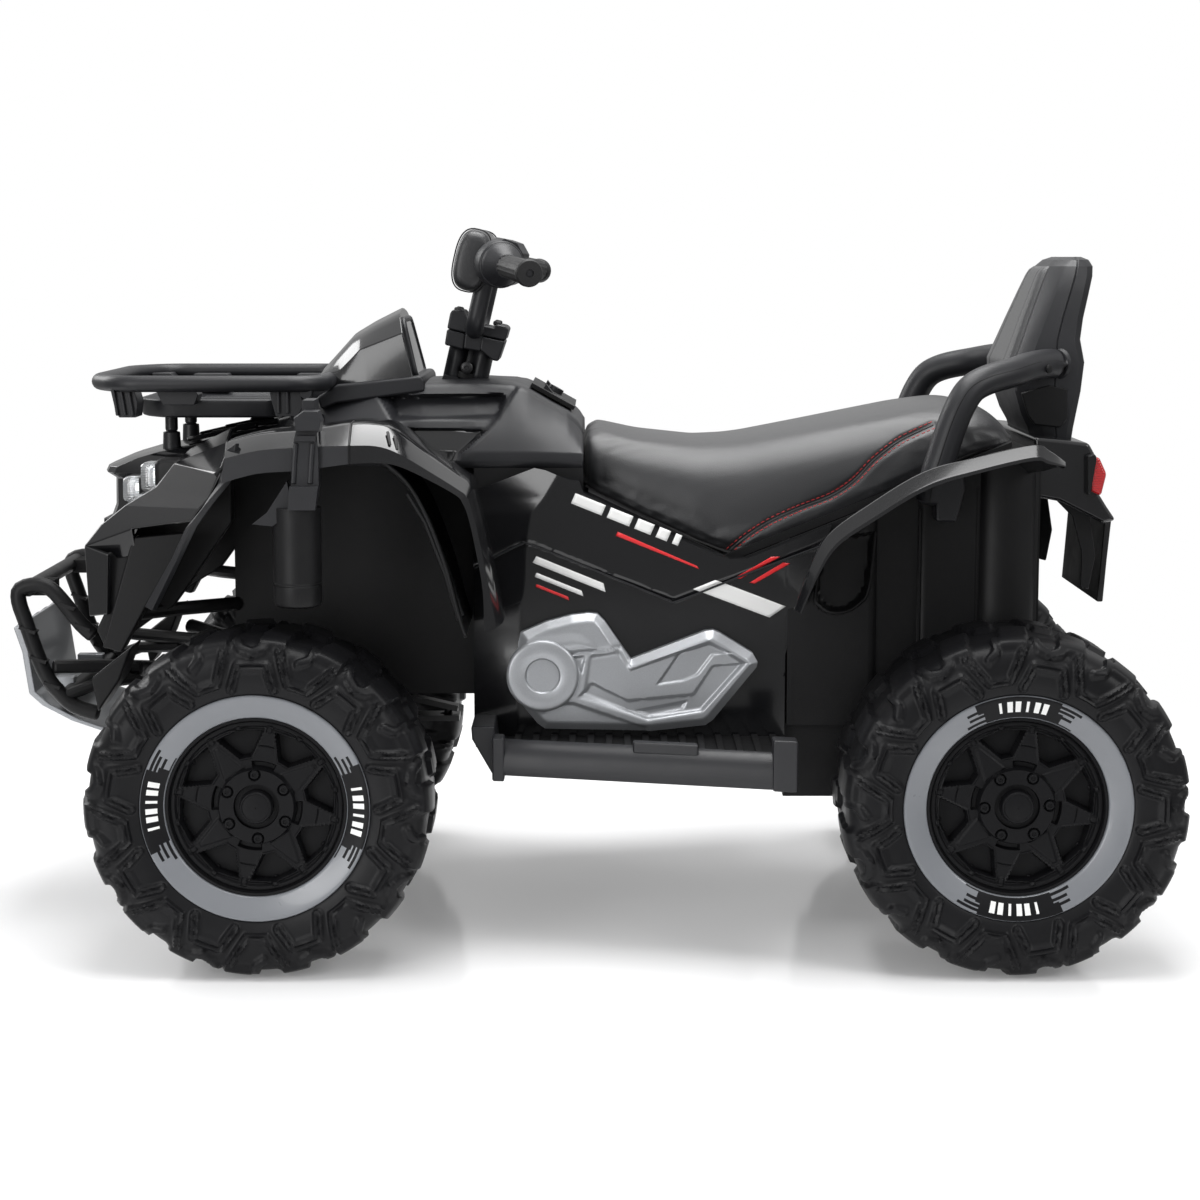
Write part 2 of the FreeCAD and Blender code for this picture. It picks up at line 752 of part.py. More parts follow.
# Column, clamp, bent bar and grips, drawn about the column's own leaning axis
def make_steering(cowl):
    shaft = new_body("steering_shaft")
    shaft_top = d.bar_height - d.clamp_height / 2
    low = -crank_depth
    disc(shaft, "XY_Plane", (0, 0), d.column_radius, shaft_top - low, offset=low)
    crank = rectangle(-d.column_radius, -d.column_radius, crank_reach, d.column_radius)
    slab(shaft, "XY_Plane", crank, d.link_thickness, offset=low)
    disc(shaft, "XY_Plane", (d.steering_arm * upright, 0), d.link_pin_radius,
         d.link_thickness * 2.2, offset=low - d.link_thickness * 2.2)
    leaned(shaft, column_foot_x, column_foot_z, d.column_rake)
    keep("steering_shaft", shaft)

    cover = new_body("column_cover")
    half_w = d.column_cover_width / 2
    half_d = d.column_cover_depth / 2
    start = d.bush_flange + d.side_play
    length = d.bar_height - d.clamp_height / 2 - start
    notch = half_d * 0.25
    slab(cover, "XY_Plane", [
        (-half_d, -half_w), (-notch, -half_w), (-notch, -half_w * 0.8), (notch, -half_w * 0.8),
        (notch, -half_w), (half_d, -half_w), (half_d, half_w), (notch, half_w),
        (notch, half_w * 0.8), (-notch, half_w * 0.8), (-notch, half_w), (-half_d, half_w)],
        length, offset=start)
    disc(cover, "XY_Plane", (0, 0), d.column_radius + d.running, length * 3,
         kind="Pocket", symmetric=True)
    leaned(cover, column_foot_x, column_foot_z, d.column_rake)
    keep("column_cover", cover)

    bore = d.bar_radius + d.running
    halves = []
    for label, inner, outer in (
            ("clamp_base", d.bar_height, d.bar_height - d.clamp_height / 2),
            ("clamp_cap", d.bar_height + d.part_line, d.bar_height + d.clamp_height / 2)):
        clamp = new_body(label)
        chamfer = d.clamp_depth * 0.14
        half = d.clamp_depth / 2
        shift = (outer - inner) * 0.3
        slab(clamp, "XZ_Plane", [
            (-half, inner), (-half, outer - shift), (-half + chamfer, outer),
            (half - chamfer, outer), (half, outer - shift), (half, inner)],
            d.clamp_width, symmetric=True)
        disc(clamp, "XZ_Plane", (0, d.bar_height), bore, d.clamp_width * 2,
             kind="Pocket", symmetric=True)
        leaned(clamp, column_foot_x, column_foot_z, d.column_rake)
        halves.append(clamp)
    keep("bar_clamp", group("bar_clamp", halves))

    bolts = []
    for x_side in (-1, 1):
        for y_side in (-1, 1):
            bolt = new_body("clamp_bolt")
            disc(bolt, "XY_Plane", (d.clamp_depth * 0.34 * x_side, d.clamp_width * 0.32 * y_side),
                 d.screw_radius, d.screw_head, offset=d.bar_height + d.clamp_height / 2)
            leaned(bolt, column_foot_x, column_foot_z, d.column_rake)
            bolts.append(bolt)
    keep("clamp_bolts", group("clamp_bolts", bolts))

    keep("handlebar", bent_bar("handlebar", d.bar_radius))
    bar_room = bent_bar("bar_room", bore)
    for label, start, length, radius in (
            ("grips", d.arm_length - d.grip_length, d.grip_length + d.bar_radius / 2, d.grip_radius),
            ("switch_housings", d.arm_length - d.grip_length - d.part_line - d.housing_length,
             d.housing_length, d.housing_radius)):
        sides = []
        for side in (-1, 1):
            sleeve = new_body(label + "_sleeve")
            arm_tube(sleeve, side, start, length, radius)
            leaned(sleeve, column_foot_x, column_foot_z, d.column_rake)
            sides.append(trimmed(label + "_tube", sleeve, [bar_room]))
        keep(label, group(label, sides))

    pad = new_body("bar_pad_block")
    middle = d.bar_height + d.riser_height + d.pad_rise
    front = d.pad_front - d.pad_depth
    shares = [(0.00, 0.20), (0.20, 0.00), (0.80, 0.00), (1.00, 0.20), (1.00, 0.80), (0.80, 1.00),
              (0.20, 1.00), (0.00, 0.80)]
    oval = within(shares, front, middle - d.pad_height / 2, d.pad_depth, d.pad_height)
    slab(pad, "XZ_Plane", oval, d.pad_half_length * 2, symmetric=True)
    leaned(pad, column_foot_x, column_foot_z, d.column_rake)
    keep("bar_pad", trimmed("bar_pad", pad, [bar_room]))

    upper = new_body("upper_bush")
    bush_low = -d.wall * 2
    disc(upper, "XY_Plane", (0, 0), bush_radius, -bush_low, offset=bush_low)
    disc(upper, "XY_Plane", (0, 0), bush_radius + d.bush_flange, d.bush_flange)
    lower = new_body("lower_bush")
    disc(lower, "XY_Plane", (0, 0), bush_radius, d.wall * 5, offset=-floor_depth - d.wall)
    bushes = []
    for bush in (upper, lower):
        disc(bush, "XY_Plane", (0, 0), d.column_radius + d.running, floor_depth * 4,
             kind="Pocket", symmetric=True)
        leaned(bush, column_foot_x, column_foot_z, d.column_rake)
        bushes.append(bush)
    bushes[0] = trimmed("upper_bush_seat", bushes[0], [cowl])
    keep("column_bushes", group("column_bushes", bushes))


def bent_bar(label, radius):
    # A clamped middle, two upright risers and two arms that sweep back, with round knees
    bar = new_body(label)
    disc(bar, "XZ_Plane", (0, d.bar_height), radius, d.riser_half * 2, symmetric=True)
    for side in (-1, 1):
        disc(bar, "XY_Plane", (0, d.riser_half * side), radius, d.riser_height, offset=d.bar_height)
        for knee_z in (d.bar_height, d.bar_height + d.riser_height):
            knee = body_ball(bar, radius)
            bind(knee, "Placement.Base.y", d.riser_half * side)
            bind(knee, "Placement.Base.z", knee_z)
        arm_tube(bar, side, 0, d.arm_length, radius)
    leaned(bar, column_foot_x, column_foot_z, d.column_rake)
    return bar


def body_ball(body, radius):
    ball = body.newObject("PartDesign::AdditiveSphere", body.Label + "_knee")
    bind(ball, "Radius", radius)
    return ball


def arm_tube(body, side, start, length, radius):
    # A tube along one swept and drooping arm of the bar, from the top of its riser
    tube = body.newObject("PartDesign::AdditiveCylinder", body.Label + "_arm")
    bind(tube, "Radius", radius)
    bind(tube, "Height", length)
    back = trig("sin", d.arm_sweep)
    out = trig("cos", d.arm_sweep) * trig("cos", d.arm_droop)
    down = trig("cos", d.arm_sweep) * trig("sin", d.arm_droop)
    along = FreeCAD.Vector(back.number, out.number * side, -down.number)
    tube.Placement = FreeCAD.Placement(
        FreeCAD.Vector(0, 0, 0), FreeCAD.Rotation(FreeCAD.Vector(0, 0, 1), along))
    bind(tube, "Placement.Base.x", back * start)
    bind(tube, "Placement.Base.y", (d.riser_half + out * start) * side)
    bind(tube, "Placement.Base.z", d.bar_height + d.riser_height - down * start)
    return tube


# Upper cowl over the column, with a sloping face for the switches
def make_cowl_bodies():
    front_half = d.tub_front_half
    sections = (
        (front_x + d.cowl_front, front_half, d.cowl_front_top),
        (front_x + d.cowl_ridge_start, d.tub_mid_half, d.cowl_top),
        (front_x + d.cowl_ridge_end, d.tub_mid_half, d.cowl_top),
        (seat_start_x, d.tub_mid_half, d.cowl_rear_top),
    )

    def ring(half, top, inset):
        shoulder = d.cowl_top_half * (half / d.tub_mid_half)
        return [
            (-half + inset, deck_z), (half - inset, deck_z),
            (half - inset, deck_z + d.cowl_skirt - inset / 2),
            (shoulder - inset, deck_z + top - inset), (-shoulder + inset, deck_z + top - inset),
            (-half + inset, deck_z + d.cowl_skirt - inset / 2)]

    envelope = new_body("cowl_envelope")
    loft(envelope, "YZ_Plane", [(x, ring(half, top, as_size(0))) for x, half, top in sections])
    hollow = new_body("cowl_hollow")
    inner = []
    for index, (x, half, top) in enumerate(sections):
        end = d.wall if index == 0 else -d.wall if index == len(sections) - 1 else as_size(0)
        inner.append((x + end, ring(half, top, d.wall)))
    loft(hollow, "YZ_Plane", inner)
    return envelope, hollow


def make_dash(cowl):
    dash = new_body("dash_cowl_block")
    start = front_x + d.dash_start
    base = deck_z + d.cowl_front_top - d.wall
    height = d.cowl_top - d.cowl_front_top + d.wall + d.dash_height
    side_view = within([(0.00, 0.15), (0.25, 0.52), (0.77, 1.00), (0.84, 0.90), (1.00, 0.24)],
                       start, base, d.dash_length, height)
    outline = side_view + [(start + d.dash_length, base), (start, base)]
    peak = d.dash_top_half / d.dash_base_half
    loft(dash, "XZ_Plane", [
        (d.dash_base_half, flattened(outline, base, 0.45)),
        (d.dash_base_half * peak, outline),
        (-d.dash_base_half * peak, outline),
        (-d.dash_base_half, flattened(outline, base, 0.45))])
    dash_part = keep("dash_cowl", trimmed("dash_cowl", dash, [cowl]))
    screen = new_body("dash_screen")
    top, foot = side_view[-2], side_view[-1]
    gap = d.part_line / 2
    lens = [(top[0] + gap, top[1]), (top[0] + gap + d.screen_thickness, top[1]),
            (foot[0] + gap + d.screen_thickness, foot[1]), (foot[0] + gap, foot[1])]
    slab(screen, "XZ_Plane", lens, d.dash_top_half * 1.6, symmetric=True)
    keep("dash_screen", screen)
    return dash_part


def flattened(points, base, share):
    return [(u, base + (v - base) * share) for u, v in points]


# Switch plate on the cowl's rear slope
slope_run = d.seat_start - d.cowl_ridge_end
slope_fall = d.cowl_top - d.cowl_rear_top
slope_angle = Size(math.degrees(math.atan2(slope_fall.number, slope_run.number)),
                   f"atan({slope_fall.formula} / {slope_run.formula})")
plate_x = front_x + d.cowl_ridge_end + slope_run / 2
plate_z = deck_z + d.cowl_top - slope_fall / 2


def make_controls():
    plate = new_body("control_plate")
    half_l = d.control_plate_length / 2
    half_w = d.control_plate_width / 2
    thick = d.control_plate_thickness
    slab(plate, "XY_Plane", rectangle(-half_l, -half_w, half_l, half_w), thick)
    rocker_y = d.control_plate_width * 0.3
    gap = d.part_line
    for side in (-1, 1):
        slab(plate, "XY_Plane", rectangle(
            -d.rocker_length / 2 - gap, rocker_y * side - d.rocker_width / 2 - gap,
            d.rocker_length / 2 + gap, rocker_y * side + d.rocker_width / 2 + gap),
            thick * 3, kind="Pocket", symmetric=True)
    disc(plate, "XY_Plane", (0, 0), d.button_radius + gap, thick * 3,
         kind="Pocket", symmetric=True)
    leaned(plate, plate_x, plate_z, slope_angle)
    keep("control_plate", plate)
    for label, side in (("direction_rocker", -1), ("speed_rocker", 1)):
        rocker = new_body(label)
        half = d.rocker_length / 2
        rest = thick * 0.75
        sketch_points = [
            (-half, rest), (half, rest), (half, thick + gap),
            (0, thick - gap), (-half, thick + d.button_height)]
        sketch = new_sketch(rocker, "XZ_Plane", -rocker_y * side - d.rocker_width / 2)
        draw_polygon(sketch, sketch_points)
        extrude(rocker, sketch, d.rocker_width)
        leaned(rocker, plate_x, plate_z, slope_angle)
        keep(label, rocker)
    button = new_body("power_button")
    disc(button, "XY_Plane", (0, 0), d.button_radius, thick + d.button_height - d.button_travel - gap,
         offset=d.button_travel + gap)
    leaned(button, plate_x, plate_z, slope_angle)
    keep("power_button", button)


# Seat: a thin pan and a crowned cushion with drawn-in sides, hinged at its front lip
def make_seat():
    gap = d.part_line
    low_x = seat_start_x + d.wall
    stops = (low_x, seat_dip_x, seat_end_x)
    pan = new_body("seat_pan")
    under = [(x, seat_line(x) - d.seat_pan) for x in stops]
    over = [(x, seat_line(x)) for x in stops]
    slab(pan, "XZ_Plane", under + over[::-1], (d.tub_mid_half - d.pan_gap) * 2, symmetric=True)
    keep("seat_pan", pan)

    length = seat_end_x - low_x
    low_top = axle_z + d.seat_low_top
    rise = d.seat_high_top - d.seat_low_top
    front_rise = d.seat_front_top - d.seat_low_top
    profile = (
        (low_x, 0.70, low_top + front_rise),
        (low_x + length * 0.16, 0.84, low_top + front_rise * 0.3),
        (seat_dip_x, 0.95, low_top + rise * 0.02),
        (low_x + length * 0.5, 0.99, low_top + rise * 0.3),
        (low_x + length * 0.78, 1.0, low_top + rise),
        (low_x + length * 0.93, 0.95, low_top + rise),
        (seat_end_x, 0.86, low_top + rise * 0.7),
    )
    cushion = new_body("seat_cushion")
    sketches = []
    for x, share, top in profile:
        sketch = new_sketch(cushion, "YZ_Plane", x)
        draw_crowned(sketch, d.seat_half * share, seat_line(x) + gap, top, d.seat_crown)
        sketches.append(sketch)
    feature = cushion.newObject("PartDesign::AdditiveLoft", "seat_cushion_loft")
    feature.Profile = sketches[0]
    feature.Sections = sketches[1:]
    feature.Ruled = True
    keep("seat_cushion", cushion)


def draw_crowned(sketch, half, low, top, crown):
    # A flat base, sides that draw in at the waist, and a top that is one arc
    waist = low + (top - crown - low) * 0.45
    draw_in = half * 0.95
    edge = half * 0.9
    edge_z = top - crown
    points = [(edge, edge_z), (draw_in, waist), (half, low), (-half, low),
              (-draw_in, waist), (-edge, edge_z)]
    corners = [FreeCAD.Vector(as_size(u).number, as_size(v).number, 0) for u, v in points]
    for corner, following in zip(corners, corners[1:]):
        sketch.addGeometry(Part.LineSegment(corner, following), False)
    last = len(points) - 2
    radius = (edge * edge + crown * crown) / (crown * 2)
    peak = FreeCAD.Vector(0, top.number, 0)
    arc = sketch.addGeometry(Part.Arc(corners[-1], peak, corners[0]), False)
    for index in range(last):
        sketch.addConstraint(Sketcher.Constraint("Coincident", index, 2, index + 1, 1))
    for index, point in enumerate(points[:-1]):
        pin_point(sketch, index, 1, point)
    pin_point(sketch, last, 2, points[-1])
    sketch.addConstraint(Sketcher.Constraint("Coincident", arc, 2, last, 2))
    sketch.addConstraint(Sketcher.Constraint("Coincident", arc, 1, 0, 1))
    number = sketch.addConstraint(Sketcher.Constraint("Radius", arc, radius.number))
    bind(sketch, f"Constraints[{number}]", radius)


# Side panels, engine covers and footboards
def make_sides():
    panel = new_body("side_panel")
    line = d.part_line
    outline = [
        (mid_start_x, floor_z), (mid_end_x, floor_z),
        (mid_end_x, axle_z + d.panel_notch * 0.42),
        (mid_end_x + d.panel_thickness * 3, seat_line(mid_end_x + d.panel_thickness * 3) - line),
        (seat_dip_x, seat_line(seat_dip_x) - line),
        (seat_start_x, seat_line(seat_start_x) - line),
        (seat_start_x, axle_z + d.panel_top),
        (seat_start_x - d.panel_thickness * 3, axle_z + d.panel_top),
        (mid_start_x, axle_z + d.panel_notch)]
    slab(panel, "XZ_Plane", outline, d.panel_thickness, offset=d.tub_mid_half)
    keep_pair("side_panels", panel)

    cover = new_body("engine_cover")
    face = d.tub_mid_half + d.panel_thickness
    cover_x = front_x + d.cover_start
    cover_z = axle_z + d.cover_rise
    shares = [
        (0.00, 0.78), (0.03, 0.84), (0.17, 0.97), (0.31, 1.00), (0.35, 0.96), (0.47, 0.61),
        (0.80, 0.86), (0.83, 0.86), (0.98, 0.64), (1.00, 0.57), (0.83, 0.16), (0.75, 0.06),
        (0.56, 0.00), (0.11, 0.01), (0.03, 0.19)]
    slab(cover, "XZ_Plane", within(shares, cover_x, cover_z, d.cover_length, d.cover_height),
         d.cover_depth, offset=face)
    hub = (cover_x + d.cover_length * 0.11, cover_z + d.cover_height * 0.49)
    disc(cover, "XZ_Plane", hub, d.cover_disc_radius, d.cover_depth + d.cover_disc_height, offset=face)
    disc(cover, "XZ_Plane", hub, d.cover_disc_radius * 0.5, d.cover_disc_height,
         offset=face + d.cover_depth + d.cover_disc_height, kind="Pocket")
    keep_pair("engine_covers", cover)

    step = new_body("footboard")
    root = d.tub_mid_half + d.panel_thickness
    front_half = root + d.step_front_width
    rear_edge = root + d.step_rear_width
    slab(step, "XY_Plane", [
        (mid_start_x + d.rail_cap_length, -root), (mid_end_x, -root),
        (mid_end_x, -rear_edge), (mid_start_x + d.rail_cap_length, -front_half)],
        d.step_thickness, offset=floor_z)

    rail = new_body("step_rail")
    low_z = floor_z - d.rail_drop
    slab(rail, "XY_Plane", [
        (mid_start_x + d.rail_cap_length, -front_half), (mid_end_x, -rear_edge),
        (mid_end_x, -rear_edge - d.rail_width),
        (mid_start_x + d.rail_cap_length, -front_half - d.rail_width)],
        d.rail_height, offset=low_z)
    slab(rail, "XY_Plane", rectangle(
        mid_end_x - d.rail_cap_length, -rear_edge - d.rail_width * 1.2,
        mid_end_x, -rear_edge), d.rail_cap_height, offset=low_z)
    keep_pair("step_rails", rail)
    return panel, step


# Nose, front fenders, their lower guards, lamps and the ornamental canisters
def make_front(tub, cowl, panel):
    nose = new_body("nose_cowl_block")
    nose_x = front_x - d.nose_reach
    nose_z = axle_z + d.nose_rise
    hood = within([(0.03, 0.70), (0.09, 0.74), (0.29, 0.81), (0.45, 0.89), (1.00, 1.00)],
                  nose_x, nose_z, d.nose_length, d.nose_height)
    mouth = within([(0.16, 0.58), (0.13, 0.40), (0.16, 0.00), (0.10, 0.00), (0.00, 0.40),
                    (0.04, 0.50), (0.06, 0.64)], nose_x, nose_z, d.nose_length, d.nose_height)
    end_x = nose_x + d.nose_length
    seat = [(end_x, deck_z), (tub_front_x, deck_z), (tub_front_x, deck_z - d.wall * 3)]
    slab(nose, "XZ_Plane", hood + seat + mouth, d.nose_half * 2, symmetric=True)
    nose_part = keep("nose_cowl", trimmed("nose_cowl", nose, [cowl]))

    fender = new_body("front_fender")
    fender_x = front_x - d.fender_reach
    fender_z = axle_z + d.fender_rise
    shares = [(0.00, 0.41), (0.20, 0.82), (0.34, 0.87), (0.40, 0.96), (0.67, 1.00),
              (0.77, 0.97), (0.94, 0.71), (0.97, 0.62), (1.00, 0.00)]
    inward = [(0.8, -0.4), (0.4, -1), (0.3, -1), (0, -1), (0, -1),
              (-0.5, -0.9), (-0.9, -0.7), (-1, -0.3), (-1.4, 0)]
    outline = within(shares, fender_x, fender_z, d.fender_length, d.fender_height)
    strip = skin_strip(outline, inward, d.fender_skin)
    slab(fender, "XZ_Plane", strip, d.fender_half - d.fender_root, offset=d.fender_root)
    # In plan the front part narrows from the brow to the tip
    brow_x = fender_x + d.fender_length * 0.36
    slab(fender, "XY_Plane", [
        (brow_x + d.wall * 2, -d.fender_half - d.wall), (brow_x, -d.fender_brow_half),
        (fender_x, -d.fender_tip_half), (fender_x - d.wall, -d.fender_tip_half),
        (fender_x - d.wall, -d.fender_half - d.wall)],
        d.fender_height + d.wall * 2, offset=fender_z + d.fender_height + d.wall, kind="Pocket")
    keep_pair("front_fenders", trimmed("front_fender_arch", fender, [cowl, nose_part, tub, panel]))

    guard = new_body("front_guard")
    chin, brow = strip[-1], strip[-2]
    guard_z = axle_z + d.guard_rise
    edge = within([(0.00, 0.35), (0.19, 0.08), (0.37, 0.00), (0.56, 0.40), (1.00, 1.00)],
                  fender_x, guard_z, d.guard_length, d.guard_height)
    slab(guard, "XZ_Plane", [brow, chin] + edge, d.guard_half - d.nose_half, offset=d.nose_half)
    keep_pair("front_guards", guard)

    lamp = new_body("headlight")
    lamp_low = between(outline[0], outline[1], 0.32)
    lamp_high = between(outline[0], outline[1], 0.86)
    slab(lamp, "XZ_Plane", [
        lamp_low, lamp_high, (lamp_high[0], lamp_high[1] + d.lamp_height * 0.4),
        (lamp_high[0] - d.lamp_length * 0.5, lamp_high[1] + d.lamp_height * 0.4),
        (lamp_low[0], lamp_low[1] + d.lamp_height)], d.lamp_width, offset=d.lamp_inner)
    keep_pair("headlights", lamp)

    canister = new_body("canister")
    centre_x = front_x + d.canister_x
    top_z = fender_z + d.fender_height + d.canister_lift
    neck_z = top_z - d.canister_strap
    half = d.canister_strut / 2
    strap = rectangle(centre_x - half, neck_z, centre_x + half, top_z)
    strap_depth = d.canister_strut / 3
    strap_y = d.fender_half + d.part_line
    slab(canister, "XZ_Plane", strap, strap_depth, offset=strap_y)
    outer_y = strap_y + strap_depth
    neck_depth = d.canister_radius + strap_depth
    slab(canister, "XZ_Plane", rectangle(centre_x - half, neck_z - half, centre_x + half, neck_z + half),
         neck_depth, offset=outer_y - neck_depth)
    disc(canister, "XY_Plane", (centre_x, d.canister_radius - outer_y), d.canister_radius,
         d.canister_length, offset=neck_z - d.canister_length)
    keep_pair("canisters", canister)
    return nose_part


# Luggage rack: a rounded rail over a plain deck, on two posts
def make_rack():
    rack = new_body("front_rack_block")
    low_x = front_x - d.rack_reach
    high_x = low_x + d.rack_length
    low_z = axle_z + d.rack_height
    half = d.rack_half

    def rounded(inset):
        corner = d.rack_corner - inset * 0.4
        a, b, c = low_x + inset, high_x - inset, half - inset
        return [(a + corner, -c), (b - corner, -c), (b, -c + corner), (b, c - corner),
                (b - corner, c), (a + corner, c), (a, c - corner), (a, -c + corner)]

    slab(rack, "XY_Plane", rounded(as_size(0)), d.rack_tube, offset=low_z)
    slab(rack, "XY_Plane", rounded(d.rack_tube), d.rack_tube * 3, offset=low_z,
         kind="Pocket", symmetric=True)
    deck_low = low_z - d.rack_deck_drop
    inset = d.rack_tube
    slab(rack, "XY_Plane", rectangle(low_x + inset * 2, -half + inset, high_x - inset, half - inset),
         d.rack_deck_thickness, offset=deck_low)
    stay = d.rack_post
    for x in (low_x + inset * 3, high_x - inset * 4):
        for side in (-1, 1):
            y = (half - inset / 2) * side
            slab(rack, "XY_Plane", rectangle(
                x - stay / 2, y - inset / 2, x + stay / 2, y + inset / 2),
                low_z - deck_low + inset / 2, offset=deck_low)
            y = (half - inset) * side * 0.55
            slab(rack, "XY_Plane", rectangle(
                x - stay / 2, y - stay / 2, x + stay / 2, y + stay / 2),
                deck_low - deck_z + d.rack_deck_thickness / 2, offset=deck_z)
    return rack


def make_bumper():
    loop = new_body("bumper_loop")
    low_x = front_x - d.front_overhang
    low_z = axle_z + d.bumper_rise
    shares = [(0.05, 0.85), (0.12, 0.95), (0.28, 1.00), (0.44, 0.98), (0.90, 0.63), (1.00, 0.50),
              (1.00, 0.06), (0.93, 0.00), (0.63, 0.00), (0.42, 0.22)]
    inward = [(1, -0.2), (0.8, -0.9), (0.1, -1), (-0.3, -1.1), (-0.9, -0.8), (-1, -0.4),
              (-1, 0.6), (-0.6, 1), (0.5, 1), (0.9, 0.5)]
    outline = within(shares, low_x, low_z, d.bumper_length, d.bumper_height)
    inner = [(u + a * d.bumper_tube, v + b * d.bumper_tube) for (u, v), (a, b) in zip(outline, inward)]
    length = (d.bumper_half + d.bumper_tube / 2) * 2
    slab(loop, "XZ_Plane", outline, length, symmetric=True)
    slab(loop, "XZ_Plane", inner, length * 2, kind="Pocket", symmetric=True)
    bar_z = low_z + d.bumper_height * 0.3
    gap = rectangle(low_x - d.bumper_tube, bar_z + d.bumper_tube,
                    low_x + d.bumper_length * 1.1, low_z + d.bumper_height * 0.86)
    slab(loop, "XZ_Plane", gap, (d.bumper_half - d.bumper_tube / 2) * 2,
         kind="Pocket", symmetric=True)
    foot = rectangle(low_x + d.bumper_length - d.bumper_tube, bar_z, tub_front_x, bar_z + d.bumper_tube)
    for low_y in (-d.bumper_foot - d.bumper_tube, d.bumper_foot):
        slab(loop, "XZ_Plane", foot, d.bumper_tube, offset=low_y)
    keep("front_bumper", loop)
    skid = new_body("skid_plate")
    shares = [(0.00, 0.97), (0.05, 0.70), (0.10, 0.36), (0.26, 0.18), (0.60, 0.04), (1.00, -0.04)]
    inward = [(1, 0), (1, 0.1), (0.9, 0.5), (0.5, 0.9), (0.2, 1), (0, 1)]
    face = within(shares, low_x, axle_z + d.skid_rise, d.bumper_length, d.skid_height)
    slab(skid, "XZ_Plane", skin_strip(face, inward, d.wall), d.skid_half * 2, symmetric=True)
    rib = [face[2], face[3], face[4], outline[8], outline[9]]
    for low_y in (-d.bumper_foot - d.wall, d.bumper_foot):
        slab(skid, "XZ_Plane", rib, d.wall, offset=low_y)
    keep("skid_plate", trimmed("skid_plate", skid, [loop]))


# Rear fenders, tail, lamps and mud flap
def make_rear(panel):
    fender = new_body("rear_fender")
    fender_x = rear_x - d.rear_fender_reach
    fender_z = axle_z + d.rear_fender_rise
    shares = [(0.00, 0.01), (0.04, 0.15), (0.12, 0.40), (0.20, 0.57), (0.36, 0.71), (0.51, 0.82),
              (0.77, 0.97), (0.93, 1.00), (1.00, 0.92)]
    inward = [(1, 0), (1, -0.3), (0.8, -0.6), (0.6, -0.9), (0.4, -1), (0.4, -1),
              (0.2, -1), (-0.2, -1), (-0.8, -0.6)]
    outline = within(shares, fender_x, fender_z, d.rear_fender_length, d.rear_fender_height)
    strip = skin_strip(outline, inward, d.rear_fender_skin)
    slab(fender, "XZ_Plane", strip, d.rear_fender_half - rear_half, offset=rear_half)
    keep_pair("rear_fenders", trimmed("rear_fender_arch", fender, [panel]))

    tail = new_body("tail_panel")
    tail_z = rear_top_z - d.tail_height
    slab(tail, "XZ_Plane", within([
        (0.00, 0.00), (1.30, -0.30), (1.40, 0.00), (1.00, 0.30), (1.00, 0.90), (0.85, 1.00), (0.00, 1.00)],
        tub_rear_x, tail_z, d.tail_depth, d.tail_height), rear_half * 2, symmetric=True)
    keep("tail_panel", tail)
    lamp = new_body("tail_lamp")
    lamp_x = tub_rear_x + d.tail_depth
    lamp_z = tail_z + d.tail_height * 0.3
    slab(lamp, "XZ_Plane", within([(0, 0), (0.8, 0), (1, 0.45), (0.5, 1), (0, 1)],
                                  lamp_x, lamp_z, d.tail_lamp_depth, d.tail_lamp_height),
         d.tail_lamp_width, offset=d.tail_lamp_inner)
    keep_pair("tail_lamps", trimmed("tail_lamp_lens", lamp, [tail]))
    flap = new_body("mud_flap")
    flap_x = tub_rear_x + d.tail_depth * 1.3 - d.flap_thickness
    flap_z = tail_z - d.tail_height * 0.3
    slab(flap, "XZ_Plane", [
        (flap_x, flap_z), (flap_x + d.flap_thickness, flap_z),
        (flap_x + d.flap_thickness, flap_z - d.flap_height * 0.6),
        (flap_x + d.flap_thickness * 0.4, flap_z - d.flap_height),
        (flap_x - d.flap_thickness * 0.6, flap_z - d.flap_height),
        (flap_x, flap_z - d.flap_height * 0.6)], d.flap_half * 2, symmetric=True)
    keep("mud_flap", flap)
    return outline


